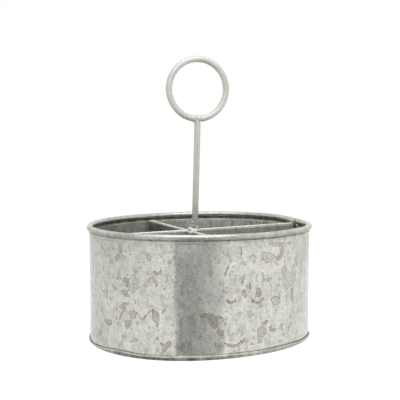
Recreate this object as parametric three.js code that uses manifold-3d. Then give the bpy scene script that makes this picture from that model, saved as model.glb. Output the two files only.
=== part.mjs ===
// Oval cutlery caddy of galvanised sheet: a seamed tub, two crossed dividers and a ring handle of wire.
// Millimetres, +Z up. The origin is on the resting plane, below the middle of the oval.
// X runs along the oval's long axis, and the side seam is at its +X end.

import * as THREE from "three";
import { mergeVertices } from "three/addons/utils/BufferGeometryUtils.js";
import Module from "manifold-3d";

const wasm = await Module();
wasm.setup();

// Tub wall
const tubLength = 220; // over the wall, without its rim
const tubWidth = 191.4;
const tubHeight = 114.7; // resting plane to the crest of the rim
const ovalPower = 2.15; // 2 is an ellipse, and more is squarer
const sheet = 0.5; // wall and base

// Wired rim: the wall's top edge is curled round a wire
const rimDiameter = 5.7;
const neckBend = 0.45; // of the sheet's middle, where the curl leaves the wall
const curlMouth = 0.2; // between the curl's edge and the neck
const rimWireFit = 0.15;

// Step in the wall below the rim
const swageDepth = 8; // crest of the rim to the top of the step
const swageStep = 0.4;
const swageRise = 0.8;

// Side seam: one end of the wall's sheet laps behind the other
const seamAcross = -8.5; // from the long axis
const seamCrack = 0.7;
const seamLap = 8;
const seamSolder = 1.1;

// Base: its edge is folded over the wall's flange and pressed flat against the wall
const footSeam = 4; // height of the fold
const foldFit = 0.1;
const floorRise = 1; // of the floor's middle above the resting plane
const floorBorder = 10; // flat ring that the tub stands on
const floorStep = 2;

// Dividers
const dividerDrop = 6.4; // crest of the rim to the dividers' tops
const dividerSheet = 0.5;
const hemThickness = 2;
const hemDrop = 7;
const hemSetback = 3; // from the wall to the hem's ends
const tabWidth = 7;
const longTabSide = 1; // +1 towards the hem's folded side
const crossTabSide = -1;
const tabBend = 1.2;
const crossAlong = -15.6; // where the dividers cross, from the middle of the tub
const crossAcross = -5.2;
const slotFit = 0.3;
const seatFit = 0.3;

// Handle: one wire, with its lower end upright in the corner of the dividers
const wireDiameter = 6.1;
const cornerGap = 0.75; // from the wire to each divider's hem
const ringRadius = 28.95; // to the middle of the wire
const ringHeight = 246.5; // resting plane to the middle of the ring
const ringSide = -0.7; // middle of the ring from the line of the rod
const rodBend = 6;
const rodLeanDegrees = 1.55; // above the dividers
const handleTurnDegrees = -10; // of the ring from the long divider

// Welds and solder
const weldFit = 0.2;
const weldRadius = 3.4; // of the lump where the ring closes
const beadRadius = 2.5; // of the lumps round the rod
const crossingShare = 0.8; // of a hem, that the lump on the crossing stands aside
const tackRadius = 2.4;
const tackThickness = 0.9;
const tackTallShare = 1.6; // height of a tack, in widths

// Smoothness
const ovalSteps = 72;
const curlSteps = 10;
const foldSteps = 2; // in a quarter turn
const wireSides = 12;
const ringSteps = 54;
const lumpSteps = 8;

// Sizes worked out from those above
const halfLength = tubLength / 2;
const halfWidth = tubWidth / 2;
const foldPitch = sheet + foldFit;
const rimRadius = rimDiameter / 2;
const dividerTop = tubHeight - dividerDrop;
const floorTop = floorRise + sheet;
const dividerFoot = floorTop + seatFit;
const dividerMiddle = (dividerTop + dividerFoot) / 2;
const plateShift = (hemThickness - dividerSheet) / 2; // from a hem's middle to its plate
const lapShift = -sheet / 2; // of the long divider, whose far tab lies on the seam's lap
const longReach = halfLength + lapShift;
const wireRadius = wireDiameter / 2;
const rodOffset = wireRadius + cornerGap + hemThickness / 2;
const rodAlong = crossAlong + rodOffset;
const rodAcross = crossAcross - rodOffset;

const galvanised = { color: 0xb8b6ad, roughness: 0.42, metalness: 0.85 };
const wireZinc = { color: 0xc3c2bc, roughness: 0.34, metalness: 0.9 };
const solderGrey = { color: 0xaeaca4, roughness: 0.5, metalness: 0.8 };

// Solids and meshes

function solidOf(geometry) {
  geometry.deleteAttribute("normal");
  geometry.deleteAttribute("uv");
  const merged = mergeVertices(geometry);
  return new wasm.Manifold(
    new wasm.Mesh({
      numProp: 3,
      vertProperties: merged.getAttribute("position").array,
      triVerts: new Uint32Array(merged.index.array),
    }),
  );
}

function meshOf(name, solid, finish) {
  const { vertProperties, triVerts } = solid.getMesh();
  const geometry = new THREE.BufferGeometry();
  geometry.setAttribute("position", new THREE.BufferAttribute(vertProperties, 3));
  geometry.setIndex(new THREE.BufferAttribute(triVerts, 1));
  geometry.computeVertexNormals();
  const mesh = new THREE.Mesh(geometry, new THREE.MeshStandardMaterial(finish));
  mesh.name = name;
  return mesh;
}

function boxSolid(low, high) {
  const size = high.clone().sub(low);
  const middle = low.clone().add(high).divideScalar(2);
  const box = new THREE.BoxGeometry(size.x, size.y, size.z);
  return solidOf(box.translate(middle.x, middle.y, middle.z));
}

// Sheet bent along a line

function arcPoints(centre, radius, from, to, steps) {
  const arc = new THREE.EllipseCurve(centre.x, centre.y, radius, radius, from, to, to < from);
  return arc.getPoints(steps);
}

// Rounds each inner corner of a line with an arc.
function bentLine(corners, radius) {
  const line = [corners[0]];
  for (let i = 1; i < corners.length - 1; i += 1) {
    const back = corners[i - 1].clone().sub(corners[i]).normalize();
    const onward = corners[i + 1].clone().sub(corners[i]).normalize();
    const half = Math.acos(THREE.MathUtils.clamp(back.dot(onward), -1, 1)) / 2;
    const bisector = back.clone().add(onward).normalize();
    const centre = corners[i].clone().addScaledVector(bisector, radius / Math.sin(half));
    const left = back.cross(onward) < 0;
    const start = back.clone().rotateAround(new THREE.Vector2(), left ? -Math.PI / 2 : Math.PI / 2);
    const turn = (Math.PI - 2 * half) * (left ? 1 : -1);
    const steps = Math.max(1, Math.round((foldSteps * Math.abs(turn)) / (Math.PI / 2)));
    line.push(...arcPoints(centre, radius, start.angle() + Math.PI, start.angle() + Math.PI + turn, steps));
  }
  line.push(corners[corners.length - 1]);
  return line;
}

// The closed outline of a sheet whose middle follows the line.
function sheetOutline(line, thickness) {
  const clean = line.filter((point, i) => i === 0 || point.distanceTo(line[i - 1]) > thickness / 100);
  const sides = clean.map((point, i) => {
    const before = clean[Math.max(i - 1, 0)];
    const after = clean[Math.min(i + 1, clean.length - 1)];
    const arrive = (i === 0 ? after.clone().sub(point) : point.clone().sub(before)).normalize();
    const leave = (i === clean.length - 1 ? arrive : after.clone().sub(point)).clone().normalize();
    const normal = new THREE.Vector2(-arrive.y - leave.y, arrive.x + leave.x).normalize();
    const miter = normal.dot(new THREE.Vector2(-leave.y, leave.x));
    return normal.multiplyScalar(thickness / 2 / miter);
  });
  const left = clean.map((point, i) => point.clone().add(sides[i]));
  const right = clean.map((point, i) => point.clone().sub(sides[i]));
  return [...right, ...left.reverse()];
}

// The oval

// A point of the wall's outer face, moved outwards by the offset.
function ovalPoint(turn, offset) {
  const along = Math.sign(Math.cos(turn)) * Math.abs(Math.cos(turn)) ** (2 / ovalPower);
  const across = Math.sign(Math.sin(turn)) * Math.abs(Math.sin(turn)) ** (2 / ovalPower);
  const normal = new THREE.Vector2(
    (Math.sign(along) * Math.abs(along) ** (ovalPower - 1)) / halfLength,
    (Math.sign(across) * Math.abs(across) ** (ovalPower - 1)) / halfWidth,
  ).normalize();
  return new THREE.Vector2(along * halfLength, across * halfWidth).addScaledVector(normal, offset);
}

// The turn of the point near the +X end that lies this far from the long axis.
function endTurn(across) {
  return Math.sign(across) * Math.asin((Math.abs(across) / halfWidth) ** (ovalPower / 2));
}

// Carries a closed outline of offsets from the wall's face and heights round the oval.
function ovalRing(outline) {
  const counterclockwise = THREE.ShapeUtils.isClockWise(outline) ? [...outline].reverse() : outline;
  const loop = counterclockwise.map((point) => new THREE.Vector2(halfLength + point.x, point.y));
  loop.push(loop[0].clone());
  const ring = new THREE.LatheGeometry(loop, ovalSteps).rotateX(Math.PI / 2);
  const place = ring.getAttribute("position");
  for (let i = 0; i < place.count; i += 1) {
    const turn = Math.atan2(place.getY(i), place.getX(i));
    const spot = ovalPoint(turn, Math.hypot(place.getX(i), place.getY(i)) - halfLength);
    place.setXY(i, spot.x, spot.y);
  }
  return solidOf(ring);
}

// An upright plate with this outline in plan.
function uprightSolid(outline, bottom, top) {
  const plate = new THREE.ExtrudeGeometry(new THREE.Shape(outline), {
    depth: top - bottom,
    bevelEnabled: false,
  });
  return solidOf(plate.translate(0, 0, bottom));
}

// A strip that follows the wall between two turns.
function wallStrip(fromTurn, toTurn, innerOffset, outerOffset, bottom, top) {
  const shares = [0, 0.25, 0.5, 0.75, 1];
  const turns = shares.map((share) => THREE.MathUtils.lerp(fromTurn, toTurn, share));
  const outer = turns.map((turn) => ovalPoint(turn, outerOffset));
  const inner = turns.map((turn) => ovalPoint(turn, innerOffset)).reverse();
  return uprightSolid([...outer, ...inner], bottom, top);
}

// Tub wall

const faceMiddle = -sheet / 2;
const curlRadius = rimRadius - sheet / 2;
const curlCentre = new THREE.Vector2(
  faceMiddle + swageStep - neckBend,
  tubHeight - rimRadius,
);
const neckTop = curlCentre.y - curlRadius - neckBend;
const swageTop = tubHeight - swageDepth;
const swageFoot = swageTop - swageRise;

// From the folded flange at the foot, up the wall and round the curl.
function wallLine() {
  const flange = faceMiddle + 2 * foldPitch;
  const flangeFoot = sheet + foldFit + sheet / 2;
  const upright = bentLine(
    [
      new THREE.Vector2(flange, footSeam - sheet / 2 - foldPitch),
      new THREE.Vector2(flange, flangeFoot),
      new THREE.Vector2(faceMiddle, flangeFoot),
      new THREE.Vector2(faceMiddle, swageFoot),
    ],
    foldPitch,
  );
  const neck = new THREE.Vector2(curlCentre.x, neckTop);
  const edge = -Math.PI / 2 + (neckBend + sheet + curlMouth) / curlRadius;
  return [
    ...upright,
    new THREE.Vector2(faceMiddle + swageStep, swageTop),
    ...arcPoints(neck, neckBend, 0, Math.PI / 2, foldSteps),
    ...arcPoints(curlCentre, curlRadius, -Math.PI / 2, edge - 2 * Math.PI, curlSteps),
  ];
}

const seamTurn = endTurn(seamAcross);
const lapTurn = endTurn(seamAcross + seamLap);
const lapFoot = footSeam + foldPitch;
const lapBite = sheet / 5;

function seamCut(innerOffset, bottom, top) {
  const inner = ovalPoint(seamTurn, innerOffset);
  return boxSolid(
    new THREE.Vector3(inner.x, seamAcross - seamCrack / 2, bottom),
    new THREE.Vector3(halfLength + rimDiameter, seamAcross + seamCrack / 2, top),
  );
}

function tubWall() {
  const lapStart = endTurn(seamAcross - seamCrack);
  const lap = wallStrip(lapStart, lapTurn, -2 * sheet, lapBite - sheet, lapFoot, swageFoot);
  return ovalRing(sheetOutline(wallLine(), sheet))
    .add(lap)
    .subtract(seamCut(-sheet, lapFoot, swageFoot))
    .subtract(seamCut(-rimDiameter, neckTop + neckBend, tubHeight + sheet));
}

function seamSolderLine() {
  const start = endTurn(seamAcross + seamLap + weldFit);
  const end = endTurn(seamAcross + seamLap + weldFit + seamSolder);
  return wallStrip(start, end, -2 * sheet, -sheet - weldFit, lapFoot, swageFoot);
}

function rimWire() {
  const radius = rimRadius - sheet - rimWireFit;
  return ovalRing(arcPoints(curlCentre, radius, 0, 2 * Math.PI, wireSides / 2).slice(1));
}

// Base plate

function basePlate() {
  const outerLeg = faceMiddle + 3 * foldPitch;
  const innerLeg = faceMiddle + foldPitch;
  const panelEdge = -floorBorder - floorStep;
  const line = bentLine(
    [
      new THREE.Vector2(panelEdge - floorStep, floorRise + sheet / 2),
      new THREE.Vector2(panelEdge, floorRise + sheet / 2),
      new THREE.Vector2(-floorBorder, sheet / 2),
      new THREE.Vector2(outerLeg, sheet / 2),
      new THREE.Vector2(outerLeg, footSeam - sheet / 2),
      new THREE.Vector2(innerLeg, footSeam - sheet / 2),
      new THREE.Vector2(innerLeg, sheet + foldFit + sheet / 2 + foldPitch),
    ],
    foldPitch,
  );
  const outline = Array.from({ length: ovalSteps }, (_, i) =>
    ovalPoint((2 * Math.PI * i) / ovalSteps, panelEdge - floorStep / 2),
  );
  const panel = uprightSolid(outline, floorRise, floorTop);
  return ovalRing(sheetOutline(line, sheet)).add(panel);
}

// Dividers. Each is made along X, with its hem folded to +Y and its tabs to the side given.

// Half the length between the walls along a line, where halfAcross is the other half size.
function wallReach(halfAlong, halfAcross, at) {
  const inset = sheet + seatFit + dividerSheet / 2;
  const share = Math.abs(at) / (halfAcross - inset);
  return (halfAlong - inset) * (1 - share ** ovalPower) ** (1 / ovalPower);
}

function tabPlan(halfAlong, halfAcross, plateAt, tabSide) {
  const end = new THREE.Vector2(wallReach(halfAlong, halfAcross, plateAt), plateAt);
  const tabAt = plateAt + tabSide * tabWidth;
  const tip = new THREE.Vector2(wallReach(halfAlong, halfAcross, tabAt), tabAt);
  return { end, tip };
}

function dividerSolid(halfAlong, halfAcross, hemAt, tabSide) {
  const { end, tip } = tabPlan(halfAlong, halfAcross, hemAt - plateShift, tabSide);
  const opposite = (point) => new THREE.Vector2(-point.x, point.y);
  const plan = bentLine([opposite(tip), opposite(end), end, tip], tabBend);
  const hemRadius = hemThickness / 2;
  const plate = uprightSolid(sheetOutline(plan, dividerSheet), dividerFoot, dividerTop - hemRadius);
  const hemLine = bentLine(
    [
      new THREE.Vector2(hemAt - plateShift, dividerTop - hemDrop),
      new THREE.Vector2(hemAt - plateShift, dividerTop - dividerSheet / 2),
      new THREE.Vector2(hemAt + plateShift, dividerTop - dividerSheet / 2),
      new THREE.Vector2(hemAt + plateShift, dividerTop - hemDrop),
    ],
    plateShift,
  );
  const hemReach = end.x - hemSetback;
  const hem = new THREE.ExtrudeGeometry(new THREE.Shape(sheetOutline(hemLine, dividerSheet)), {
    depth: 2 * hemReach,
    bevelEnabled: false,
  });
  hem.rotateX(Math.PI / 2).rotateZ(Math.PI / 2).translate(-hemReach, 0, 0);
  return plate.add(solidOf(hem));
}

function slotSolid(middle, width, hemAt, bottom, top) {
  return boxSolid(
    new THREE.Vector3(middle - width / 2, hemAt - hemThickness, bottom),
    new THREE.Vector3(middle + width / 2, hemAt + hemThickness, top),
  );
}

// Slotted from below over the cross divider.
function longDivider() {
  const width = dividerSheet + 2 * slotFit;
  const middle = crossAlong + plateShift - lapShift;
  const slot = slotSolid(middle, width, crossAcross, 0, dividerMiddle + slotFit);
  return dividerSolid(longReach, halfWidth, crossAcross, longTabSide).subtract(slot);
}

// Slotted from above, wide enough for the long divider's hem.
function crossDivider() {
  const width = hemThickness + 2 * slotFit;
  const slot = slotSolid(crossAcross, width, -crossAlong, dividerMiddle, tubHeight);
  return dividerSolid(halfWidth, halfLength, -crossAlong, crossTabSide).subtract(slot);
}

// A flat dome of solder on a divider's tab, facing into the tub.
function tackSolid() {
  const rim = arcPoints(new THREE.Vector2(), tackRadius, 0, Math.PI / 2, lumpSteps / 2);
  rim.forEach((point) => point.setY((point.y * tackThickness) / tackRadius));
  rim[rim.length - 1].setX(0);
  const dome = new THREE.LatheGeometry([new THREE.Vector2(), ...rim], lumpSteps).scale(1, 1, tackTallShare);
  return solidOf(dome.rotateZ(Math.PI / 2));
}

function tackMesh(name, halfAlong, halfAcross, hemAt, tabSide, side, height) {
  const { end, tip } = tabPlan(halfAlong, halfAcross, hemAt - plateShift, tabSide);
  const middle = end.clone().lerp(tip, 0.6);
  const inward = new THREE.Vector2(tip.y - end.y, end.x - tip.x).normalize().multiplyScalar(-tabSide);
  middle.addScaledVector(inward, dividerSheet / 2 + weldFit);
  const mesh = meshOf(name, tackSolid(), solderGrey);
  mesh.rotation.z = side > 0 ? inward.angle() - Math.PI : -inward.angle();
  mesh.position.set(side * middle.x, middle.y, height);
  return mesh;
}

// A divider's frame: the divider and its solder tacks, turned together about the middle of the tub.
function dividerGroup(name, solid, halfAlong, halfAcross, hemAt, tabSide) {
  const group = new THREE.Group();
  group.add(meshOf(name + "_divider", solid, galvanised));
  const heightShares = { low: 0.15, high: 0.85 };
  const ends = { near: -1, far: 1 };
  for (const [place, share] of Object.entries(heightShares)) {
    for (const [end, side] of Object.entries(ends)) {
      const height = THREE.MathUtils.lerp(dividerFoot, dividerTop, share);
      const label = [name, "tack", end, place].join("_");
      group.add(tackMesh(label, halfAlong, halfAcross, hemAt, tabSide, side, height));
    }
  }
  return group;
}

// Handle

const rodLean = THREE.MathUtils.degToRad(rodLeanDegrees);
const handleTurn = THREE.MathUtils.degToRad(handleTurnDegrees);

// A point of the leaning part, from its distances beside and above the top of the dividers.
function leanPoint(side, rise) {
  const across = side * Math.cos(rodLean) + rise * Math.sin(rodLean);
  const up = rise * Math.cos(rodLean) - side * Math.sin(rodLean);
  return new THREE.Vector3(across, 0, dividerTop + up);
}

class LeanArc extends THREE.Curve {
  constructor(side, rise, radius, from, to) {
    super();
    Object.assign(this, { side, rise, radius, from, to });
  }

  getPoint(share) {
    const angle = THREE.MathUtils.lerp(this.from, this.to, share);
    return leanPoint(
      this.side + this.radius * Math.cos(angle),
      this.rise + this.radius * Math.sin(angle),
    );
  }
}

// Curves end to end, each with its own number of steps, so that a straight one takes a single step.
class SteppedRoute extends THREE.Curve {
  constructor(pieces) {
    super();
    this.pieces = pieces;
    this.steps = pieces.reduce((sum, piece) => sum + piece.steps, 0);
  }

  getPoint(share) {
    let left = THREE.MathUtils.clamp(share, 0, 1) * this.steps;
    const piece = this.pieces.find((each, i) => {
      if (left <= each.steps || i === this.pieces.length - 1) return true;
      left -= each.steps;
      return false;
    });
    return piece.curve.getPoint(Math.min(left / piece.steps, 1));
  }

  getUtoTmapping(share) {
    return share;
  }
}

const ringRise = (ringHeight - dividerTop) / Math.cos(rodLean);
const bendRise =
  ringRise - Math.sqrt((ringRadius + rodBend) ** 2 - (ringSide + rodBend) ** 2);
const bendTurn = Math.atan2(ringRise - bendRise, ringSide + rodBend);
const ringGap = Math.asin((wireRadius + weldFit - ringSide) / ringRadius);

// Up the rod, out to the left, and clockwise round the ring to the rod's other side.
function handleRoute() {
  const foot = new THREE.Vector3(0, 0, dividerFoot);
  const top = leanPoint(0, 0);
  const bend = new LeanArc(-rodBend, bendRise, rodBend, 0, bendTurn);
  const ring = new LeanArc(ringSide, ringRise, ringRadius, bendTurn + Math.PI, ringGap - Math.PI / 2);
  return new SteppedRoute([
    { curve: new THREE.LineCurve3(foot, top), steps: 1 },
    { curve: new THREE.LineCurve3(top, leanPoint(0, bendRise)), steps: 1 },
    { curve: bend, steps: lumpSteps / 2 },
    { curve: ring, steps: ringSteps },
  ]);
}

function wireSolid(radius) {
  const route = handleRoute();
  const section = new THREE.Shape().absarc(0, 0, radius, 0, 2 * Math.PI);
  const wire = new THREE.ExtrudeGeometry(section, {
    steps: route.steps,
    curveSegments: wireSides / 2,
    extrudePath: route,
  });
  return solidOf(wire);
}

function lumpSolid(radius, centre) {
  const lump = new THREE.SphereGeometry(radius, lumpSteps, lumpSteps);
  return solidOf(lump.translate(centre.x, centre.y, centre.z));
}

// Fills the notch where the end of the ring meets the rod.
function ringWeld() {
  const notch = leanPoint(wireRadius / 3, ringRise - ringRadius + wireRadius / 2);
  return lumpSolid(weldRadius, notch).subtract(wireSolid(wireRadius + weldFit));
}

// Lumps round the rod where it passes the tops of the dividers, clear of rod and hems.
function rodWeld() {
  const sizeShares = [0.95, 0.8, 0.9, 1, 0.85, 1.1];
  const lumps = sizeShares.map((share, i) => {
    const turn = (2 * Math.PI * i) / sizeShares.length;
    const centre = new THREE.Vector3(wireRadius * Math.cos(turn), wireRadius * Math.sin(turn), dividerTop);
    return lumpSolid(share * beadRadius, centre);
  });
  return lumps.reduce((sum, lump) => sum.add(lump)).subtract(wireSolid(wireRadius + weldFit));
}

// The room that the two hems take, grown by a fit, in the part's frame.
function hemRoom(fit) {
  const half = hemThickness / 2 + fit;
  const top = dividerTop + fit;
  const long = boxSolid(
    new THREE.Vector3(-halfLength, crossAcross - half, 0),
    new THREE.Vector3(halfLength, crossAcross + half, top),
  );
  const cross = boxSolid(
    new THREE.Vector3(crossAlong - half, -halfWidth, 0),
    new THREE.Vector3(crossAlong + half, halfWidth, top),
  );
  return long.add(cross);
}

function crossingWeld() {
  const middle = new THREE.Vector3(crossAlong, crossAcross, dividerTop);
  const spread = new THREE.Vector3(-1, 1, 0).multiplyScalar(hemThickness * crossingShare);
  return lumpSolid(beadRadius, middle.clone().add(spread)).subtract(hemRoom(weldFit));
}

function handleGroup() {
  const group = new THREE.Group();
  group.add(meshOf("handle", wireSolid(wireRadius), wireZinc));
  group.add(meshOf("ring_weld", ringWeld(), solderGrey));
  group.rotation.z = handleTurn;
  group.position.set(rodAlong, rodAcross, 0);
  return group;
}

// Cut in the part's frame, where the hems lie along the axes.
function rodWeldSolid() {
  const placed = rodWeld()
    .rotate([0, 0, handleTurnDegrees])
    .translate([rodAlong, rodAcross, 0]);
  return placed.subtract(hemRoom(weldFit));
}

const caddy = new THREE.Group();
caddy.add(meshOf("tub_wall", tubWall(), galvanised));
caddy.add(meshOf("side_seam_solder", seamSolderLine(), solderGrey));
caddy.add(meshOf("rim_wire", rimWire(), wireZinc));
caddy.add(meshOf("base_plate", basePlate(), galvanised));
const longGroup = dividerGroup("long", longDivider(), longReach, halfWidth, crossAcross, longTabSide);
longGroup.position.x = lapShift;
caddy.add(longGroup);
const crossGroup = dividerGroup("cross", crossDivider(), halfWidth, halfLength, -crossAlong, crossTabSide);
crossGroup.rotation.z = Math.PI / 2;
caddy.add(crossGroup);
caddy.add(handleGroup());
caddy.add(meshOf("rod_weld", rodWeldSolid(), solderGrey));
caddy.add(meshOf("crossing_weld", crossingWeld(), solderGrey));

export default caddy;
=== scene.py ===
"""Oval cutlery caddy of galvanised sheet: its looks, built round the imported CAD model.

Shapes are worked out in millimetres and made in metres, in the frame of the CAD.
"""

import math

import bmesh
import bpy
import numpy as np
from mathutils import Matrix, Vector


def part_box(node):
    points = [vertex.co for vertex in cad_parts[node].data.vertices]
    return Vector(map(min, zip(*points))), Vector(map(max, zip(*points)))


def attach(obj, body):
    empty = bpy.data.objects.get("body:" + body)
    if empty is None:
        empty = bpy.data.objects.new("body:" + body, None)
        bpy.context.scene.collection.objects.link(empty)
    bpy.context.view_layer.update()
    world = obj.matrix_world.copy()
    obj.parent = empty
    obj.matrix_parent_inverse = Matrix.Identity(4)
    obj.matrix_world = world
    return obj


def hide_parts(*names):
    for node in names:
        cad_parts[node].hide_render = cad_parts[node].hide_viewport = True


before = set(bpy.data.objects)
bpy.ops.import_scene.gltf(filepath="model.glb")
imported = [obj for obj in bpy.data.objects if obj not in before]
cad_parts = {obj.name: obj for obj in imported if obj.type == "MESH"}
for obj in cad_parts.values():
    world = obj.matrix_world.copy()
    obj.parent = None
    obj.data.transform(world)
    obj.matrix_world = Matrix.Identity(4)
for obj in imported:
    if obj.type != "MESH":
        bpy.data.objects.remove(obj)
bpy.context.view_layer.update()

MM = 0.001  # metres

# Sheet and rim, as in the CAD
OVAL_POWER = 2.15  # 2 is an ellipse, and more is squarer
SHEET = 0.5
RIM_DIAMETER = 5.7
NECK_BEND = 0.45
CURL_MOUTH = 0.2
RIM_WIRE_FIT = 0.15
SWAGE_DEPTH = 8
SWAGE_STEP = 0.4
SWAGE_RISE = 0.8
SEAM_ACROSS = -8.5
SEAM_CRACK = 0.7
SEAM_LAP = 8
SEAM_SOLDER = 1.1

# Foot and floor
FOOT_SEAM = 4
FOLD_FIT = 0.1
FOLD_PITCH = SHEET + FOLD_FIT
FLOOR_RISE = 1
FLOOR_BORDER = 10
FLOOR_STEP = 2

# Dividers
HEM_THICKNESS = 2
HEM_DROP = 7
HEM_SETBACK = 3
TAB_WIDTH = 7
TAB_BEND = 1.2
CROSS_ALONG = -15.6
CROSS_ACROSS = -5.2
SLOT_FIT = 0.3
SEAT_FIT = 0.3
PLATE_SHIFT = (HEM_THICKNESS - SHEET) / 2
LAP_SHIFT = -SHEET / 2  # of the long divider

# Handle
WIRE_DIAMETER = 6.1
CORNER_GAP = 0.75
RING_RADIUS = 28.95
RING_HEIGHT = 246.5
RING_SIDE = -0.7
ROD_BEND = 6
ROD_LEAN = math.radians(1.55)
HANDLE_TURN = math.radians(-10)
WIRE_RADIUS = WIRE_DIAMETER / 2
ROD_OFFSET = WIRE_RADIUS + CORNER_GAP + HEM_THICKNESS / 2

# Welds
ROD_BLOBS = 7  # round the rod, where it leaves the dividers
ROD_BLOB = 2.1
# The ring weld's lumps, each a place from the ring's foot in radii of the wire, and three radii
RING_DRIPS = [((0.35, 0.1), (3.1, 3.5, 3.4)), ((-0.6, 0.3), (4, 3.4, 3))]
# Drips of the other welds, each a place from the rod's or the crossing's middle and three radii
ROD_DRIPS = [
    ((-3, 1.5, 0.6), (3.5, 3.5, 3.1)),
    ((-0.1, -3.1, -1.4), (2, 1.9, 1.9)),
    ((-2.1, -0.1, 3.6), (2.3, 2.3, 2.8)),
    ((-2, -0.1, 7.4), (2, 2, 2.6)),
    ((1.1, -1.3, 2.4), (2.4, 2.4, 2.8)),
    ((3.2, 3.3, -0.2), (2.2, 1.8, 1.2)),
]
CROSSING_DRIPS = [
    ((0.7, -0.7, -0.3), (3, 3, 1.7)),
    ((-1.4, -4.4, -2.3), (1.2, 3.4, 2)),
    ((-1.2, -7.6, -2.6), (1, 2.2, 1.8)),
    ((-2.2, -1.1, -2), (2.2, 1.2, 2)),
]

# Fineness of the meshes
OVAL_STEPS = 760
BEND_STEPS = 6
CURL_STEPS = 28
WALL_ROWS = 115
DIVIDER_COLUMNS = 150
DIVIDER_ROWS = 60
WIRE_SIDES = 28
ROD_FOOT_STEPS = 20
ROD_STEPS = 40
ROD_BEND_STEPS = 14
RING_STEPS = 220
LUMP_VOXEL = 0.24
RIPPLE_WAVES = 7
TUBE_SIDES = 16  # of the rim's wire
LAP_STEPS = 16
FILLET_STEPS = 120
FILLET_SIDES = 10
FLOOR_RINGS = (0.2, 0.4, 0.6, 0.8)  # shares of the way from the middle of the tub's floor to its rim

# Hand work: how far the sheet wanders from its drawn place
ROUND_WANDER = 0.12
WALL_WANDER = 0.16
DIVIDER_WANDER = 0.22
HEM_WANDER = 0.15
HEM_RISE = 0.8
FOOT_WANDER = 0.07
FLOOR_WANDER = 0.25
WIRE_WANDER = 0.1
RING_WELD_ROUGH = 0.05
WELD_ROUGH = 0.12
TACK_ROUGH = 0.15

# Hand work: seeds of the random waves
WALL_SEEDS = (1, 2)
FILLET_SEED = 3
SEAM_SEEDS = (4, 5)
FLOOR_SEED = 6
LONG_SEED = 7
CROSS_SEED = 20
WIRE_SEEDS = (11, 12)
RING_WELD_SEED = 21
ROD_WELD_SEED = 22
CROSSING_WELD_SEED = 23
TACK_SEED = 30

# Hand work: the size of large waves and of the small ones on them, with the share of the small ones
WALL_WAVES = (34, 15, 0.45)
SEAM_WAVES = (6, 2.2, 0.6)
DIVIDER_WAVES = (32, 12, 0.3)
LUMP_WAVES = (1.7, 0.7, 0.4)

# Hand work: the size of waves that are alone
HEM_WAVES = 25
FLOOR_WAVES = 40
WIRE_WAVES = 26
FILLET_WAVES = 5

# Hand work: hills round the oval, each a middle and a width in degrees and an amount in millimetres
OVAL_BULGES = [(180, 17, 1.1), (-32, 14, 0.7)]
SEAM_SWELLS = [
    (170, 16, -2.8), (-157, 9, 1.0), (-110, 50, 0.5), (-64, 8, 0.6), (-48, 16, -0.9), (-22, 13, -2.3)
]
RIM_DIPS = [(-12, 17, -1.3), (-47, 13, -0.9), (-78, 22, -0.7), (-125, 25, 0.3)]
SEAM_FADE = 14  # over which the wall makes up for a high or low seam
FOOT_TAPER = 1.0  # how far the seam leans in at its foot
LAP_SWELL = 0.28  # growth of the curl where the wall's ends lap
LAP_REACH = math.radians(17)

# Flakes of zinc on the sheet
FLAKE_REACH = 3  # how far outside a flake it is felt
FLAKE_CORNERS = 7  # of a random flake and of a spot
SCATTER_SEED = 11
SMALL_FLAKES = (420, (1.0, 2.6), (0.08, 0.2))  # how many, their sizes and how dark
LARGE_FLAKES = (110, (3.5, 8), (0.12, 0.34))

# Painted shade: hills round the oval, with amounts from 0 to 1
CORNER_SHADE = [(-160, 38, 1)]
WALL_FOOT_SHADE = [(-168, 24, 0.45), (-45, 40, 0.45), (90, 70, 0.3)]
INSIDE_SHADE = [(128, 36, 0.5)]
SEAM_CREASE_SHADE = [(-168, 24, 0.95), (-45, 40, 0.95), (90, 70, 0.6)]
SEAM_FOOT_SHADE = [(-128, 42, 0.62)]

# Camera, from the photograph
CAMERA_TURN = math.radians(26.63)
CAMERA_DIP = math.radians(5.35)
CAMERA_DISTANCE = 903.8
CAMERA_HEIGHT = 221.32
CAMERA_LENS = 81.73
CAMERA_SENSOR = 36
PHOTO_SIZE = 400
CAMERA_NEAREST = 0.01  # metres, as is the next
CAMERA_FARTHEST = 50

# Studio: its floor's grey and glow as the camera sees them, and as the metal does
STUDIO_RADIUS = 5  # metres
STUDIO_SIDES = 96
SEEN_GREY = 0.3
SEEN_GLOW = 0.88
PAPER_GREY = 0.8
PAPER_GLOW = 0.4
WORLD_LIGHT = 0.43  # on matt surfaces, where 1 is white
WHITE = (1, 1, 1, 1)
# Each lamp's azimuth in degrees, distance and height, its sides, its radiance and whether the metal sees it
LAMPS = {
    "overhead_lamp": ((10, 330, 850), (900, 900), 1.5, True),
    "front_lamp": ((0, 1000, 130), (1200, 300), 1.0, False),
    "right_lamp": ((82, 900, 300), (500, 500), 1.5, False),
}

# Dark paper on the floor: how far from the wall it reaches, and where its left and right sides start, with
# their azimuths in degrees, and the brightness on the way across
BAND_NEAR = 10
BAND_FAR = 1100
BAND_RISE = 0.5
BAND_COLUMNS = 24
BAND_ROWS = 6
BAND_LEFT = (-65, -80, -9.7)
BAND_RIGHT = (-24, -94, 38)
BAND_GLOW = [(0, 0.28), (0.3, 0.16), (0.55, 0.32), (0.75, 0.48), (1, 0.7)]

# Grey card that stands in front
CARD_DISTANCE = 320
CARD_WIDTH = 150
CARD_HEIGHTS = (66, 260)
CARD_GREY = 0.6


def box_mm(node):
    """Lowest and highest corner of a CAD node, in millimetres."""
    low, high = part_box(node)
    return np.array(low) / MM, np.array(high) / MM


# Sizes taken from the frame

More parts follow.
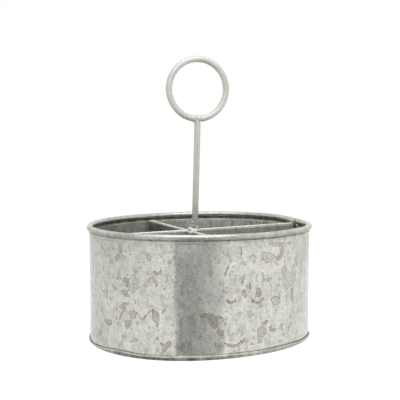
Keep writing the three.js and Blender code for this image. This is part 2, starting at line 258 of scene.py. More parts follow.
CURL_ACROSS = -SHEET / 2 + SWAGE_STEP - NECK_BEND
_, tub_corner = box_mm("tub_wall")
HALF_LENGTH = tub_corner[0] - CURL_ACROSS - RIM_DIAMETER / 2
HALF_WIDTH = tub_corner[1] - CURL_ACROSS - RIM_DIAMETER / 2
TUB_TOP = tub_corner[2]
DIVIDER_TOP = box_mm("long_divider")[1][2]
DIVIDER_FOOT = box_mm("long_divider")[0][2]
DIVIDER_MIDDLE = (DIVIDER_TOP + DIVIDER_FOOT) / 2
CURL_RADIUS = (RIM_DIAMETER - SHEET) / 2
CURL_HEIGHT = TUB_TOP - RIM_DIAMETER / 2
SWAGE_TOP = TUB_TOP - SWAGE_DEPTH
SWAGE_FOOT = SWAGE_TOP - SWAGE_RISE
NECK_TOP = CURL_HEIGHT - CURL_RADIUS - NECK_BEND


# Lines and sheets


def arc(centre, radius, start, end, steps):
    angles = np.linspace(start, end, steps + 1)
    return np.array(centre) + radius * np.stack([np.cos(angles), np.sin(angles)], -1)


def bent_line(corners, radius, steps=BEND_STEPS):
    """The line through the corners, with each inner corner rounded by an arc."""
    corners = np.array(corners, float)
    line = [corners[:1]]
    for before, corner, after in zip(corners, corners[1:], corners[2:]):
        back = (before - corner) / np.linalg.norm(before - corner)
        onward = (after - corner) / np.linalg.norm(after - corner)
        half = math.acos(np.clip(back @ onward, -1, 1)) / 2
        bisector = (back + onward) / np.linalg.norm(back + onward)
        centre = corner + bisector * radius / math.sin(half)
        start = corner + back * radius / math.tan(half) - centre
        end = corner + onward * radius / math.tan(half) - centre
        first = math.atan2(start[1], start[0])
        turn = math.atan2(start[0] * end[1] - start[1] * end[0], start @ end)
        line.append(arc(centre, radius, first, first + turn, steps))
    line.append(corners[-1:])
    return np.concatenate(line)


def finer(line, longest):
    """The line with points added so that no stretch is longer than this."""
    made = [line[:1]]
    for start, end in zip(line, line[1:]):
        pieces = max(1, math.ceil(np.linalg.norm(end - start) / longest))
        shares = np.arange(1, pieces + 1)[:, None] / pieces
        made.append(start + (end - start) * shares)
    return np.concatenate(made)


def without_doubles(line, nearest=SHEET / 100):
    """The line without the points that lie on the one before them."""
    steps = np.linalg.norm(np.diff(line, axis=0), axis=1)
    return line[np.concatenate([[True], steps > nearest])]


def sheet_outline(line, thickness=SHEET):
    """The closed outline of a sheet whose middle follows the line: one side out, the other back."""
    steps = np.diff(line, axis=0)
    steps /= np.linalg.norm(steps, axis=1, keepdims=True)
    arrive = np.concatenate([steps[:1], steps])
    leave = np.concatenate([steps, steps[-1:]])
    normal = np.stack([-arrive[:, 1] - leave[:, 1], arrive[:, 0] + leave[:, 0]], -1)
    normal /= np.linalg.norm(normal, axis=1, keepdims=True)
    miter = -normal[:, 0] * leave[:, 1] + normal[:, 1] * leave[:, 0]
    normal *= (thickness / 2 / miter)[:, None]
    return np.concatenate([line - normal, (line + normal)[::-1]])


def oval(turn, offset):
    """Points of the wall's outer face at these turns, moved outwards by the offsets."""
    cosine, sine = np.cos(turn), np.sin(turn)
    along = np.sign(cosine) * np.abs(cosine) ** (2 / OVAL_POWER)
    across = np.sign(sine) * np.abs(sine) ** (2 / OVAL_POWER)
    normal_x = np.sign(along) * np.abs(along) ** (OVAL_POWER - 1) / HALF_LENGTH
    normal_y = np.sign(across) * np.abs(across) ** (OVAL_POWER - 1) / HALF_WIDTH
    size = np.hypot(normal_x, normal_y)
    return np.stack(
        [
            along * HALF_LENGTH + normal_x / size * offset,
            across * HALF_WIDTH + normal_y / size * offset,
        ],
        -1,
    )


def end_turn(across):
    """The turn of the point near the +X end that lies this far from the long axis."""
    return math.copysign(math.asin((abs(across) / HALF_WIDTH) ** (OVAL_POWER / 2)), across)


def turn_from(turn, start):
    """How far round a turn is from another one, from -180 to 180 degrees, in radians."""
    return np.mod(turn - start + math.pi, 2 * math.pi) - math.pi


def hills(turn, places):
    """The height of a row of smooth hills at a turn."""
    heights = [
        amount * np.exp(-((turn_from(turn, math.radians(middle)) / math.radians(width)) ** 2))
        for middle, width, amount in places
    ]
    return sum(heights)


def smooth(share):
    share = np.clip(share, 0, 1)
    return share * share * (3 - 2 * share)


def stand_out(turn):
    """How far the oval is out of its drawn shape at a turn, outwards."""
    waves = 0.5 * np.cos(2 * turn + 0.6) + 0.3 * np.cos(3 * turn + 2.1) + 0.2 * np.cos(5 * turn)
    return ROUND_WANDER * waves + hills(turn, OVAL_BULGES)


def formed(turn, offset, height):
    """Where hand forming of the seam, rim and lap takes a point drawn at this offset and height."""
    edge = smooth((offset + 4) / 3)  # the floor inside stays as it is
    seam = FOOT_SEAM + hills(turn, SEAM_SWELLS)
    below = np.clip((height - SHEET) / (FOOT_SEAM - SHEET), 0, 1)
    above = np.clip(1 - (height - FOOT_SEAM) / SEAM_FADE, 0, 1)
    lifted = height + edge * (seam - FOOT_SEAM) * np.where(height < FOOT_SEAM, below, above)
    moved = offset - edge * FOOT_TAPER * np.clip(1 - height / FOOT_SEAM, 0, 1) ** 1.2

    lifted = lifted + hills(turn, RIM_DIPS) * smooth((height - TUB_TOP / 3) / (SWAGE_TOP - TUB_TOP / 3))
    past_crack = turn_from(turn, end_turn(SEAM_ACROSS))
    lapped = np.where(past_crack > 0, smooth(1 - past_crack / LAP_REACH), 0)
    swell = LAP_SWELL * lapped * smooth((height - SWAGE_TOP) / (NECK_TOP - SWAGE_TOP))
    moved = moved + (offset - CURL_ACROSS - RIM_DIAMETER / 2) * swell
    lifted = lifted + (height - TUB_TOP) * swell
    return moved, lifted


def ripple(points, size, seed):
    """Smooth random waves from about -1 to 1 at each of these points, in lumps of about this size."""
    random = np.random.default_rng(seed)
    ways = random.normal(size=(RIPPLE_WAVES, 3))
    ways *= random.uniform(2, 4.5, (RIPPLE_WAVES, 1)) / np.linalg.norm(ways, axis=1, keepdims=True) / size
    phases = random.uniform(0, 2 * math.pi, RIPPLE_WAVES)
    return np.sin(np.asarray(points) @ ways.T + phases).sum(-1) / RIPPLE_WAVES * 1.8


def double_ripple(points, waves, seeds):
    """Large waves with a share of small ones on them."""
    large, small, share = waves
    return ripple(points, large, seeds[0]) + share * ripple(points, small, seeds[1])


# Meshes


def new_object(name, mesh):
    piece = bpy.data.objects.new(name, mesh)
    bpy.context.scene.collection.objects.link(piece)
    return piece


def new_mesh(name, points, faces):
    """A mesh from points in millimetres."""
    mesh = bpy.data.meshes.new(name)
    mesh.from_pydata((np.asarray(points) * MM).tolist(), [], faces)
    return mesh


def mesh_of(name, shape):
    """The mesh of a bmesh shape, which is given up."""
    mesh = bpy.data.meshes.new(name)
    shape.to_mesh(mesh)
    shape.free()
    return mesh


def add_field(mesh, field, values):
    """Puts a number at each point, for the materials."""
    mesh.attributes.new(field, "FLOAT", "POINT").data.foreach_set("value", np.ravel(values))


def make_piece(name, node, points, faces, materials, kinds=None, fields=None):
    """A smooth piece in place of a node of the CAD, from points in millimetres.

    The kinds give each face its material, and the fields are numbers at the points for the materials.
    """
    mesh = new_mesh(name, points, faces)
    for field, values in (fields or {}).items():
        add_field(mesh, field, values)
    if kinds is not None:
        mesh.polygons.foreach_set("material_index", np.asarray(kinds, "i"))
    finish_piece(new_object(name, mesh), node, materials)


def finish_piece(piece, node, materials):
    """Shades a piece, gives it its materials, which keep their faces, and puts it in place of its node."""
    mesh = piece.data
    sharpen(mesh)
    kinds = np.zeros(len(mesh.polygons), "i")
    mesh.polygons.foreach_get("material_index", kinds)
    mesh.materials.clear()
    for material in materials:
        mesh.materials.append(material)
    mesh.polygons.foreach_set("material_index", kinds)
    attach(piece, "root")
    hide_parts(node)


def sharpen(mesh, limit=math.radians(38)):
    """Faces outwards and smooth, with a sharp edge wherever two faces turn more than the limit."""
    shape = bmesh.new()
    shape.from_mesh(mesh)
    bmesh.ops.recalc_face_normals(shape, faces=shape.faces)
    shape.to_mesh(mesh)
    shape.free()
    mesh.shade_smooth()
    mesh.set_sharp_from_angle(angle=limit)


def baked(piece):
    """Puts the result of a piece's modifiers in its mesh."""
    graph = bpy.context.evaluated_depsgraph_get()
    mesh = bpy.data.meshes.new_from_object(piece.evaluated_get(graph))
    piece.modifiers.clear()
    piece.data = mesh
    return piece


def ring_faces(columns, rows, closed, open_rows=False):
    """Quads between columns of points, each column a closed ring of this many rows unless it is open."""
    column = np.arange(columns if closed else columns - 1)[:, None]
    row = np.arange(rows - 1 if open_rows else rows)[None, :]
    after, below = (column + 1) % columns, (row + 1) % rows
    corners = [column * rows + row, after * rows + row, after * rows + below, column * rows + below]
    return np.stack(np.broadcast_arrays(*corners), -1).reshape(-1, 4).tolist()


def tube_faces(columns, rows):
    """The skin of a tube and its two round ends."""
    last = (columns - 1) * rows
    return ring_faces(columns, rows, False) + [list(range(rows)), list(range(last, last + rows))]


def sheet_faces(columns, rows):
    """The skin of a swept sheet outline and its two ends."""
    faces = ring_faces(columns, rows, False)
    for first in (0, (columns - 1) * rows):
        for i in range(rows // 2 - 1):
            faces.append([first + i, first + i + 1, first + rows - 2 - i, first + rows - 1 - i])
    return faces


def swept_points(turns, outline, moved=0):
    """An outline of offsets and heights carried round the oval and formed, with its points moved out."""
    turn, offset = np.meshgrid(turns, outline[:, 0], indexing="ij")
    height = np.broadcast_to(outline[:, 1], turn.shape)
    offset, height = formed(turn, offset, height)
    place = oval(turn, offset + stand_out(turn) + moved)
    return np.concatenate([place, height[..., None]], -1)


# Materials


class Nodes:
    """Builds the nodes of one material or world."""

    def __init__(self, owner):
        owner.use_nodes = True
        self.owner = owner
        self.tree = owner.node_tree
        self.tree.nodes.clear()

    def add(self, kind, inputs=None, **settings):
        node = self.tree.nodes.new(kind)
        for key, value in settings.items():
            setattr(node, key, value)
        for key, value in (inputs or {}).items():
            if isinstance(value, bpy.types.NodeSocket):
                self.tree.links.new(value, node.inputs[key])
            else:
                node.inputs[key].default_value = value
        return node

    def finish(self, shader, output="ShaderNodeOutputMaterial"):
        """Ends in this shader, and returns the material or world."""
        self.add(output, {"Surface": shader.outputs[0]})
        return self.owner

    def math(self, operation, first, second=0.0, third=0.0):
        inputs = {0: first, 1: second, 2: third}
        return self.add("ShaderNodeMath", inputs, operation=operation).outputs[0]

    def times(self, first, second):
        return self.math("MULTIPLY", first, second)

    def vector(self, operation, first, second=(0, 0, 0)):
        node = self.add("ShaderNodeVectorMath", {0: first, 1: second}, operation=operation)
        return node.outputs[0]

    def remap(self, value, low, high, to_low=0.0, to_high=1.0):
        inputs = {"Value": value, "From Min": low, "From Max": high, "To Min": to_low, "To Max": to_high}
        node = self.add("ShaderNodeMapRange", inputs, interpolation_type="SMOOTHSTEP")
        return node.outputs["Result"]

    def mix(self, share, first, second, blend="MIX"):
        """Two colours mixed, each a socket or three numbers."""
        inputs = {0: share}
        for key, colour in ((6, first), (7, second)):
            inputs[key] = colour if isinstance(colour, bpy.types.NodeSocket) else (*colour, 1)
        node = self.add("ShaderNodeMix", inputs, data_type="RGBA", blend_type=blend)
        return node.outputs[2]

    def scaled(self, colour, share):
        """A colour made brighter or darker."""
        grey = self.add("ShaderNodeCombineColor", {0: share, 1: share, 2: share}).outputs[0]
        return self.mix(1.0, colour, grey, "MULTIPLY")

    def noise(self, place, size, detail=3.0, roughness=0.55, output="Fac"):
        """Noise around 0.5 whose lumps are about this many millimetres."""
        inputs = {"Vector": place, "Scale": 1 / size, "Detail": detail, "Roughness": roughness}
        return self.add("ShaderNodeTexNoise", inputs).outputs[output]

    def place(self, stretch=(1, 1, 1)):
        """Where the surface is, in millimetres, with each axis stretched."""
        spot = self.add("ShaderNodeTexCoord").outputs["Object"]
        return self.vector("MULTIPLY", spot, tuple(1 / MM / share for share in stretch))

    def height(self):
        """How high the surface is, in millimetres."""
        return self.add("ShaderNodeSeparateXYZ", {0: self.place()}).outputs[2]

    def attribute(self, name):
        return self.add("ShaderNodeAttribute", attribute_name=name).outputs["Fac"]

    def tone(self, start, *layers):
        """A brightness near 1, from noises around 0.5 and how strongly each shows."""
        for noise, strength in layers:
            start = self.math("ADD", start, self.math("MULTIPLY_ADD", noise, strength, -strength / 2))
        return start

    def metal(self, colour, roughness, height, bump_strength, bump_depth, metallic):
        inputs = {"Height": height, "Strength": bump_strength, "Distance": bump_depth * MM}
        bump = self.add("ShaderNodeBump", inputs).outputs[0]
        inputs = {"Base Color": colour, "Roughness": roughness, "Metallic": metallic, "Normal": bump}
        return self.finish(self.add("ShaderNodeBsdfPrincipled", inputs))


def new_material(name):
    return Nodes(bpy.data.materials.new(name))


# Linear colours of the zinc and of what lies on it
ZINC = (0.652, 0.652, 0.602)
# Near white of the painted highlight on the tops of the dividers' hems
HEM_HIGHLIGHT = (0.93, 0.92, 0.88)
TAUPE = (0.235, 0.193, 0.135)
OLIVE = (0.215, 0.2, 0.128)
# Dark of the painted shade in creases, under the rim and low on the seam
SHADE_COLOUR = (0.10, 0.09, 0.068)
WIRE_TONES = (0.66, 0.655, 0.61), (0.61, 0.605, 0.56)
WIRE_STREAK = (0.42, 0.41, 0.38)
SOLDER_TONES = (0.58, 0.57, 0.53), (0.8, 0.79, 0.75)
# Dark solder tones that stand in for shadow: painted shade in the gaps at the tacks and the side seam's lap
SHADOW_GAP_TONES = (0.2, 0.19, 0.165), (0.38, 0.36, 0.33)
BURNT_SOLDER = (0.46, 0.45, 0.41)

# Size of the noises in the sheet in millimetres, and how strongly each shows in its brightness
CLOUDS, CLOUD_TONE = 24, 0.45
PATCHES, PATCH_TONE = 6, 0.45
SPECKLE, SPECKLE_TONE = 2.1, 0.8
GRAIN, GRAIN_TONE = 0.9, 0.5
STREAKS = 2.6
SCRATCHES, SCRATCH_TONE = 1.1, 0.2
SWIRLS = 8


def drawn_flakes(nodes, place):
    """How deep inside a flake the surface is, in millimetres, and how dark it and its outline are."""
    depth = nodes.tone(nodes.attribute("flake"), (nodes.noise(place, 2.2, 4, 0.7), 2.4))
    fill = nodes.times(nodes.attribute("flake_fill"), 1.7)
    return depth, fill, nodes.times(nodes.attribute("flake_edge"), 1.9)


def scattered_flakes(nodes, place, size, share):
    """The same three for flakes that the material itself scatters, for sheet that is seen less closely."""
    swirl = nodes.vector("SUBTRACT", nodes.noise(place, SWIRLS, 2, output="Color"), (0.5,) * 3)
    swirled = nodes.vector("ADD", place, nodes.vector("MULTIPLY", swirl, (SWIRLS,) * 3))
    cells = nodes.add("ShaderNodeTexVoronoi", {"Vector": swirled, "Scale": 1 / size}).outputs
    pick = nodes.add("ShaderNodeSeparateColor", {0: cells["Color"]}).outputs
    picked = nodes.math("LESS_THAN", pick[0], share)
    reach = nodes.remap(pick[1], 0, 1, 0.18, 0.42)
    depth = nodes.times(nodes.math("SUBTRACT", reach, cells["Distance"]), float(size))
    outside = nodes.math("MULTIPLY_ADD", picked, float(FLAKE_REACH), -float(FLAKE_REACH))
    fill = nodes.remap(pick[2], 0, 1, 0.12, 0.45)
    return nodes.math("MULTIPLY_ADD", depth, picked, outside), fill, nodes.math("ADD", fill, 0.15)


def flake_marks(nodes, place, flakes):
    """Where the surface is inside a flake, how dark flakes make it, and the pale line round them."""
    depth, fill, edge = scattered_flakes(nodes, place, *flakes) if flakes else drawn_flakes(nodes, place)
    inside = nodes.remap(depth, -0.3, 0.2)
    outline = nodes.times(inside, nodes.remap(depth, 1.1, 0.4))
    halo = nodes.times(nodes.remap(depth, -1.3, -0.3), nodes.remap(depth, 0.1, -0.1))
    broken = nodes.remap(nodes.noise(place, 1.8, 4, 0.7), 0.35, 0.6, 0.45, 1.25)
    filled = nodes.times(inside, nodes.times(fill, broken))
    outlined = nodes.times(outline, nodes.times(edge, broken))
    return inside, nodes.math("MAXIMUM", filled, outlined), halo


def galvanised(name, metallic, gloss, flakes=None, tint=1.0, streaky=0.25, mottle=1.0, highlight_above=None):
    """Hot-dip zinc: cloudy and speckled, with matt flakes in darker outlines, and painted shade in creases
    and under the rim, from a field of the mesh.

    The flakes are a size and a share of the sheet, or none where the mesh itself carries them. Above the
    height given, where there is one, the sheet turns near white: a painted highlight on the hems' tops.
    """
    nodes = new_material(name)
    place = nodes.place()
    clouds = nodes.noise(place, CLOUDS, 3)
    patches = nodes.noise(nodes.place((1, 1, 1.5)), PATCHES, 3, 0.6)
    speckle = nodes.noise(place, SPECKLE, 2, 0.7)
    grain = nodes.noise(place, GRAIN, 2, 0.7)
    streaks = nodes.noise(nodes.place((1, 1, 12)), STREAKS, 3)
    scratches = nodes.noise(nodes.place((12, 12, 1)), SCRATCHES, 2)
    inside, dark, halo = flake_marks(nodes, place, flakes)
    veil = nodes.noise(nodes.place((1, 1, 1.4)), 6.5, 5, 0.72)
    dark = nodes.math("MAXIMUM", dark, nodes.remap(veil, 0.5, 0.66, 0.0, 0.45))

    layers = [
        (clouds, CLOUD_TONE), (patches, PATCH_TONE), (speckle, SPECKLE_TONE),
        (grain, GRAIN_TONE), (streaks, streaky), (scratches, SCRATCH_TONE),
    ]
    tone = nodes.tone(1.0, *[(noise, strength * mottle) for noise, strength in layers])
    tone = nodes.math("MULTIPLY_ADD", halo, 0.05, tone)
    hue = nodes.mix(nodes.remap(clouds, 0.4, 0.6), TAUPE, OLIVE)
    colour = nodes.mix(dark, tuple(tint * part for part in ZINC), hue)
    # Painted highlight: near white above the given height, on the tops of the hems
    if highlight_above:
        highlight = nodes.remap(nodes.height(), highlight_above, highlight_above + 0.8)
        colour = nodes.mix(highlight, colour, HEM_HIGHLIGHT)
    # Painted shade: darker in creases, under the bead and rim and low on the seam, as the mesh's field
    # gives it
    painted_shade = nodes.times(nodes.attribute("painted_shade"), nodes.remap(patches, 0.3, 0.7, 1.2, 0.75))
    colour = nodes.scaled(nodes.mix(painted_shade, colour, SHADE_COLOUR), tone)

    roughness = nodes.math("MULTIPLY_ADD", clouds, 0.08, gloss - 0.04)
    roughness = nodes.math("MULTIPLY_ADD", inside, 0.12, roughness)
    roughness = nodes.math("MULTIPLY_ADD", painted_shade, 0.4, roughness)
    bumps = nodes.tone(0.0, (speckle, 0.3), (patches, 0.5), (clouds, 1.4), (streaks, streaky))
    bumps = nodes.math("MULTIPLY_ADD", inside, -0.06, bumps)
    return nodes.metal(colour, roughness, bumps, 0.4, 0.25, metallic)


def drawn_wire(name):
    """Satin zinc wire, with faint marks of drawing and handling, and dull near the weld at its foot."""
    nodes = new_material(name)
    place = nodes.place()
    clouds = nodes.noise(place, 7, 3)
    grain = nodes.noise(place, 0.9, 2, 0.7)
    streaks = nodes.noise(nodes.place((1, 1, 18)), 1.4, 2)
    tone = nodes.mix(nodes.remap(clouds, 0.3, 0.7), *WIRE_TONES)
    tone = nodes.mix(nodes.remap(streaks, 0.5, 0.7, 0.0, 0.14), tone, WIRE_STREAK)
    burnt = nodes.remap(nodes.height(), DIVIDER_TOP + 32, DIVIDER_TOP + 4, 0.0, 0.4)
    roughness = nodes.math("MULTIPLY_ADD", clouds, 0.1, 0.46)
    bumps = nodes.math("ADD", nodes.times(grain, 0.1), clouds)
    return nodes.metal(nodes.mix(burnt, tone, TAUPE), roughness, bumps, 0.15, 0.06, 0.6)


def solder(name, dark, light):
    """Dull solder and weld metal, grainy, cloudy from dark to light and burnt where it climbs the rod."""
    nodes = new_material(name)
    place = nodes.place()
    clouds = nodes.noise(place, 2.6, 3)
    grain = nodes.noise(place, 0.7, 3, 0.65)
    tone = nodes.mix(nodes.remap(clouds, 0.35, 0.65), dark, light)
    burnt = nodes.remap(nodes.height(), DIVIDER_TOP + 1.5, DIVIDER_TOP + 4)
    roughness = nodes.math("MULTIPLY_ADD", grain, 0.2, 0.3)
    bumps = nodes.math("ADD", nodes.times(grain, 0.3), clouds)
    return nodes.metal(nodes.mix(burnt, tone, BURNT_SOLDER), roughness, bumps, 0.3, 0.2, 0.5)


# The painted highlight on the hems' tops starts at this height
HIGHLIGHT_ABOVE = DIVIDER_TOP - 2.4
WALL_ZINC = galvanised("wall_zinc", 0.6, 0.15)
INSIDE_ZINC = galvanised("inside_zinc", 0.35, 0.32, (15, 0.3), 1.04, 0.5, 1.4)
BEAD_ZINC = galvanised("bead_zinc", 0.6, 0.2, (7, 0.35), 0.87, 0.1, 1.1)
DIVIDER_ZINC = galvanised("divider_zinc", 0.4, 0.3, (16, 0.4), 0.83, 0.3, 1.4, HIGHLIGHT_ABOVE)
# A darker copy of the dividers' zinc: painted shade on the cross divider's left face
PAINTED_SHADE_ZINC = galvanised("painted_shade_zinc", 0.4, 0.4, (16, 0.4), 0.4, 0.3, 1.4, HIGHLIGHT_ABOVE)
FLOOR_ZINC = galvanised("floor_zinc", 0.55, 0.2, (12, 0.25), 1.0, 0.1, 1.2)
WIRE_ZINC = drawn_wire("wire_zinc")
SOLDER = solder("solder_metal", *SOLDER_TONES)
# Dark solder as painted shade for the shadow gaps at the tacks and the side seam's lap
SHADOW_GAP_SOLDER = solder("shadow_gap_solder", *SHADOW_GAP_TONES)


# Tub wall and rim

FACE_MIDDLE = -SHEET / 2

# Flakes on the front of the wall, each with how dark its inside and its outline are and its corners,
# in pixels of the photograph
FLAKES = {
    "tall olive": (0.30, 0.34, [(117.7, 242.7), (122.4, 243.4), (122.1, 252.6), (119.8, 259.1),
        (116.7, 262.6), (114.4, 258.4), (118.2, 251.5)]),
    "left mottle": (0.14, 0.20, [(107.1, 246.5), (111.7, 245.7), (112.9, 248.4), (109.4, 252.6),
        (106, 251.1)]),
    "oval leaf": (0.20, 0.36, [(145.2, 255.5), (147.5, 252.8), (149.5, 254), (151.4, 257.8), (150.3, 260.8),
        (148, 261.2), (146.3, 258.5)]),
    "small leaf": (0.28, 0.30, [(138.8, 265.2), (141, 266.6), (142.4, 268.6), (140.8, 269.3)]),
    "dark arrow": (0.32, 0.44, [(152.2, 272.5), (154.5, 270.8), (157.2, 272.9), (160.6, 270.2),
        (162.3, 271.8), (160.6, 273.9), (155.7, 275.8)]),
    "big leaf": (0.12, 0.36, [(134.5, 273.3), (135.5, 278.7), (137.4, 281.3), (138.9, 287.8), (133.2, 294),
        (129.3, 289.4), (127.8, 285.9), (128.6, 279), (131.2, 275.2)]),
    "leaf strip": (0.32, 0.36, [(123.4, 276.8), (128.2, 278.3), (128.2, 286), (126.5, 288.6),
        (124.6, 284)]),
    "left peak": (0.20, 0.36, [(119, 272.4), (120.8, 275), (121.5, 279.4), (116, 279), (117.5, 275)]),
    "left chip": (0.30, 0.34, [(112.3, 281.8), (114.8, 286), (118.4, 289.2), (115.6, 290.2),
        (112.3, 287.1)]),
    "round patch": (0.30, 0.42, [(121.3, 290.5), (124.4, 289.2), (127.4, 291.3), (128.8, 296.8),
        (125.9, 297.2), (122.4, 294.7)]),
    "tilted leaf": (0.16, 0.30, [(144.2, 283.8), (147.5, 279.2), (151.7, 276.8), (150.5, 281),
        (148.3, 284.8), (145.8, 288.6)]),
    "rectangle": (0.26, 0.36, [(154.2, 280.8), (157.2, 280.4), (158.2, 283.2), (157.6, 285.7),
        (156, 287.6)]),
    "slant streak": (0.22, 0.24, [(164.8, 274), (166.6, 275), (169, 281.6), (167.7, 282.2), (166, 278)]),
    "shard": (0.26, 0.34, [(118.6, 306.5), (123, 302.8), (128.8, 302.4), (127, 306.2), (122.5, 309)]),
    "slant band": (0.30, 0.34, [(124.8, 306), (126.5, 307.5), (122.7, 314.5), (120, 320.4), (118.4, 318.5),
        (121, 312)]),
    "middle shard": (0.14, 0.34, [(128.8, 312), (133, 309.4), (136.7, 312.5), (135.5, 317.7), (132, 320),
        (129, 316.5)]),
    "thin vee": (0.36, 0.40, [(136.1, 312.2), (137.5, 312), (141.7, 318.4), (151, 309), (152.4, 309.8),
        (141.6, 321.6)]),
    "kite": (0.28, 0.44, [(152.4, 308.7), (159.6, 314), (158.3, 325.8), (151.6, 319.7)]),
    "olive foot": (0.28, 0.34, [(124.2, 320.3), (132, 319.8), (131.6, 325.5), (127.5, 329.2),
        (124.8, 326.5)]),
    "slant leaf": (0.22, 0.28, [(167.2, 304), (168.7, 305.5), (164.6, 312.2), (162, 315.2), (162.2, 311)]),
    "left olive": (0.32, 0.36, [(105.3, 319), (111.5, 320), (111.9, 323.8), (109.5, 325.8), (107, 324.5)]),
    "left fork": (0.20, 0.28, [(96, 326.5), (99, 329.5), (101.6, 328.5), (102, 334.5), (99.8, 337.3),
        (97.2, 331)]),
    "left foot": (0.20, 0.26, [(102, 335.6), (104.5, 339), (108, 340.5), (108, 345.5), (103.5, 345.5),
        (101.5, 341)]),
    "foot mottle": (0.20, 0.28, [(117, 341.8), (122.8, 342.5), (123.2, 348), (118.5, 347.5)]),
    "foot bar": (0.24, 0.28, [(131.3, 339), (138, 338.6), (137.6, 341.8), (131.8, 342)]),
    "crown": (0.34, 0.42, [(159.1, 341), (162.5, 343.4), (164.6, 344), (167, 342.2), (170.1, 340.2),
        (172.1, 345), (167.8, 348.3), (164.8, 353), (161.3, 353.5), (162.5, 348)]),
    "band top": (0.14, 0.16, [(186, 243), (192, 243.4), (191.6, 249.6), (187, 249)]),
    "band bar": (0.22, 0.26, [(190.2, 273), (193, 271.8), (197.5, 272.8), (197.2, 275.7), (192, 276)]),
    "band brown": (0.33, 0.36, [(200, 314.6), (206.5, 313), (213, 313.6), (216.3, 316), (219.8, 315.4),
        (223.6, 318.6), (219.2, 318.6), (218, 327.2), (214.5, 329.4), (211, 326.5), (209.4, 320.5),
        (205, 318.2), (200.6, 318)]),
    "band soft": (0.15, 0.15, [(200.6, 318.6), (206, 319.5), (208.6, 323), (204.8, 325.6), (201, 324)]),
    "band foot": (0.27, 0.34, [(216.1, 330.5), (219.5, 329.8), (224.1, 329.6), (224.2, 334), (223, 339.7),
        (220.3, 337.5), (218, 335)]),
    "wide patch": (0.06, 0.18, [(227.3, 248), (234, 246.3), (240.8, 247.3), (240.8, 256), (236.5, 262.3),
        (230, 260.3), (227.1, 254)]),
    "patch edge": (0.34, 0.36, [(240.7, 246), (242.4, 246.8), (242.5, 255.2), (240.7, 256)]),
    "right olive": (0.24, 0.34, [(227.9, 263.9), (229, 266.8), (227.3, 272.7), (224.8, 276.1),
        (223.9, 273.7), (226.4, 269.1)]),
    "bramble": (0.30, 0.40, [(238.6, 273.7), (241, 277), (243.5, 275), (245.2, 275.3), (244, 281),
        (242.6, 286), (241.2, 282), (239.8, 279)]),
    "small peak": (0.38, 0.42, [(249.5, 282.3), (252.3, 287), (249.5, 290.4), (248.2, 286)]),
    "broken ring": (0.32, 0.46, [(241.3, 291), (244, 289.6), (246.4, 292.5), (247, 296.5), (245.4, 299.3),
        (243.2, 296.2), (241.6, 294.5)]),
    "blotch": (0.10, 0.34, [(261, 251.7), (262.3, 255.3), (263.5, 260), (266.2, 263.6), (270, 263.2),
        (273.5, 260.7), (275.2, 256.5), (272.7, 253)]),
    "blotch lobe": (0.30, 0.36, [(273.4, 253.6), (275.7, 256.8), (278.4, 260.5), (280.8, 259.2),
        (282.8, 255.3), (284, 249.6), (281.9, 246.7), (280.2, 250), (279.4, 255.3), (276.9, 256.6)]),
    "top mottle": (0.20, 0.28, [(268.6, 243), (275, 242), (283.5, 242.8), (284.6, 246.8), (279, 247),
        (269, 245.7)]),
    "tall right": (0.13, 0.36, [(281.3, 272.9), (281.4, 268.1), (284.5, 266.2), (287.6, 270.6),
        (291.8, 272.9), (292.6, 266), (294.1, 264.3), (295.4, 269.1), (295.8, 279.8), (292.6, 285.4),
        (290.3, 287.7), (285.2, 290.4), (284.3, 287.5), (285.7, 281.3), (283.6, 276.7)]),
    "right tail": (0.30, 0.34, [(290.5, 288), (293, 287.8), (293.5, 300), (291, 301)]),
    "right horn": (0.30, 0.34, [(261.4, 270.2), (263.4, 274.5), (265.1, 281.7), (261.3, 282.8),
        (262.5, 277.5)]),
    "right chip": (0.24, 0.34, [(267.8, 277.3), (272, 277.5), (270.5, 281.2), (267.2, 282.6)]),
    "right bell": (0.36, 0.44, [(256.6, 288), (259, 287.5), (261.2, 291), (261.9, 295.5), (259.5, 297),
        (254.6, 296.8), (255.5, 293)]),
    "right bow": (0.40, 0.44, [(250.1, 296.8), (254.5, 301), (259.5, 301.5), (264, 297.3), (262.6, 302.2),
        (257.5, 304.5), (251.8, 302.7)]),
    "right ring": (0.18, 0.44, [(271, 299), (274.5, 295.3), (279.7, 297.1), (280.4, 301.5), (276.5, 305.3),
        (272, 303.4)]),
    "low bow": (0.40, 0.42, [(226, 297.8), (229.5, 301.3), (234, 300.5), (236.8, 296.6), (236.2, 301.7),
        (231, 304.3), (227, 302.6)]),
    "low stone": (0.20, 0.30, [(247.8, 312), (251.5, 309.9), (253.3, 313.5), (251, 318.3), (248, 316.6)]),
    "low leaf": (0.38, 0.48, [(262.8, 325.3), (262.4, 322.5), (266.5, 319.5), (268.1, 320.8),
        (266.1, 324.7)]),
    "low tower": (0.28, 0.36, [(257.3, 328.5), (262, 325.8), (266.8, 330), (266.9, 335), (264.8, 334),
        (262, 342.8), (258, 343.8), (257.4, 336)]),
    "low spike": (0.42, 0.48, [(269.2, 327.2), (271.5, 324.5), (272.5, 326), (271.6, 329), (276.3, 328),
        (276.5, 331.4), (269.6, 331)]),
    "low bird": (0.32, 0.38, [(279.8, 326.5), (281.8, 322.3), (283.2, 324.5), (282.4, 328), (283.2, 331.8),
        (281.3, 330.2)]),
    "low right": (0.20, 0.28, [(288.3, 327.5), (289.5, 322.3), (291.6, 322), (290.6, 326)]),
    "foot wave": (0.34, 0.40, [(221.4, 341.4), (227, 343), (232, 343.5), (237, 344.3), (241, 340.3),
        (246.2, 337.2), (245.2, 341.2), (240, 345.8), (233, 347.5), (227, 345.8)]),
    "foot right": (0.22, 0.26, [(276.4, 342.5), (279, 339.2), (282.9, 340), (281, 343)]),
}

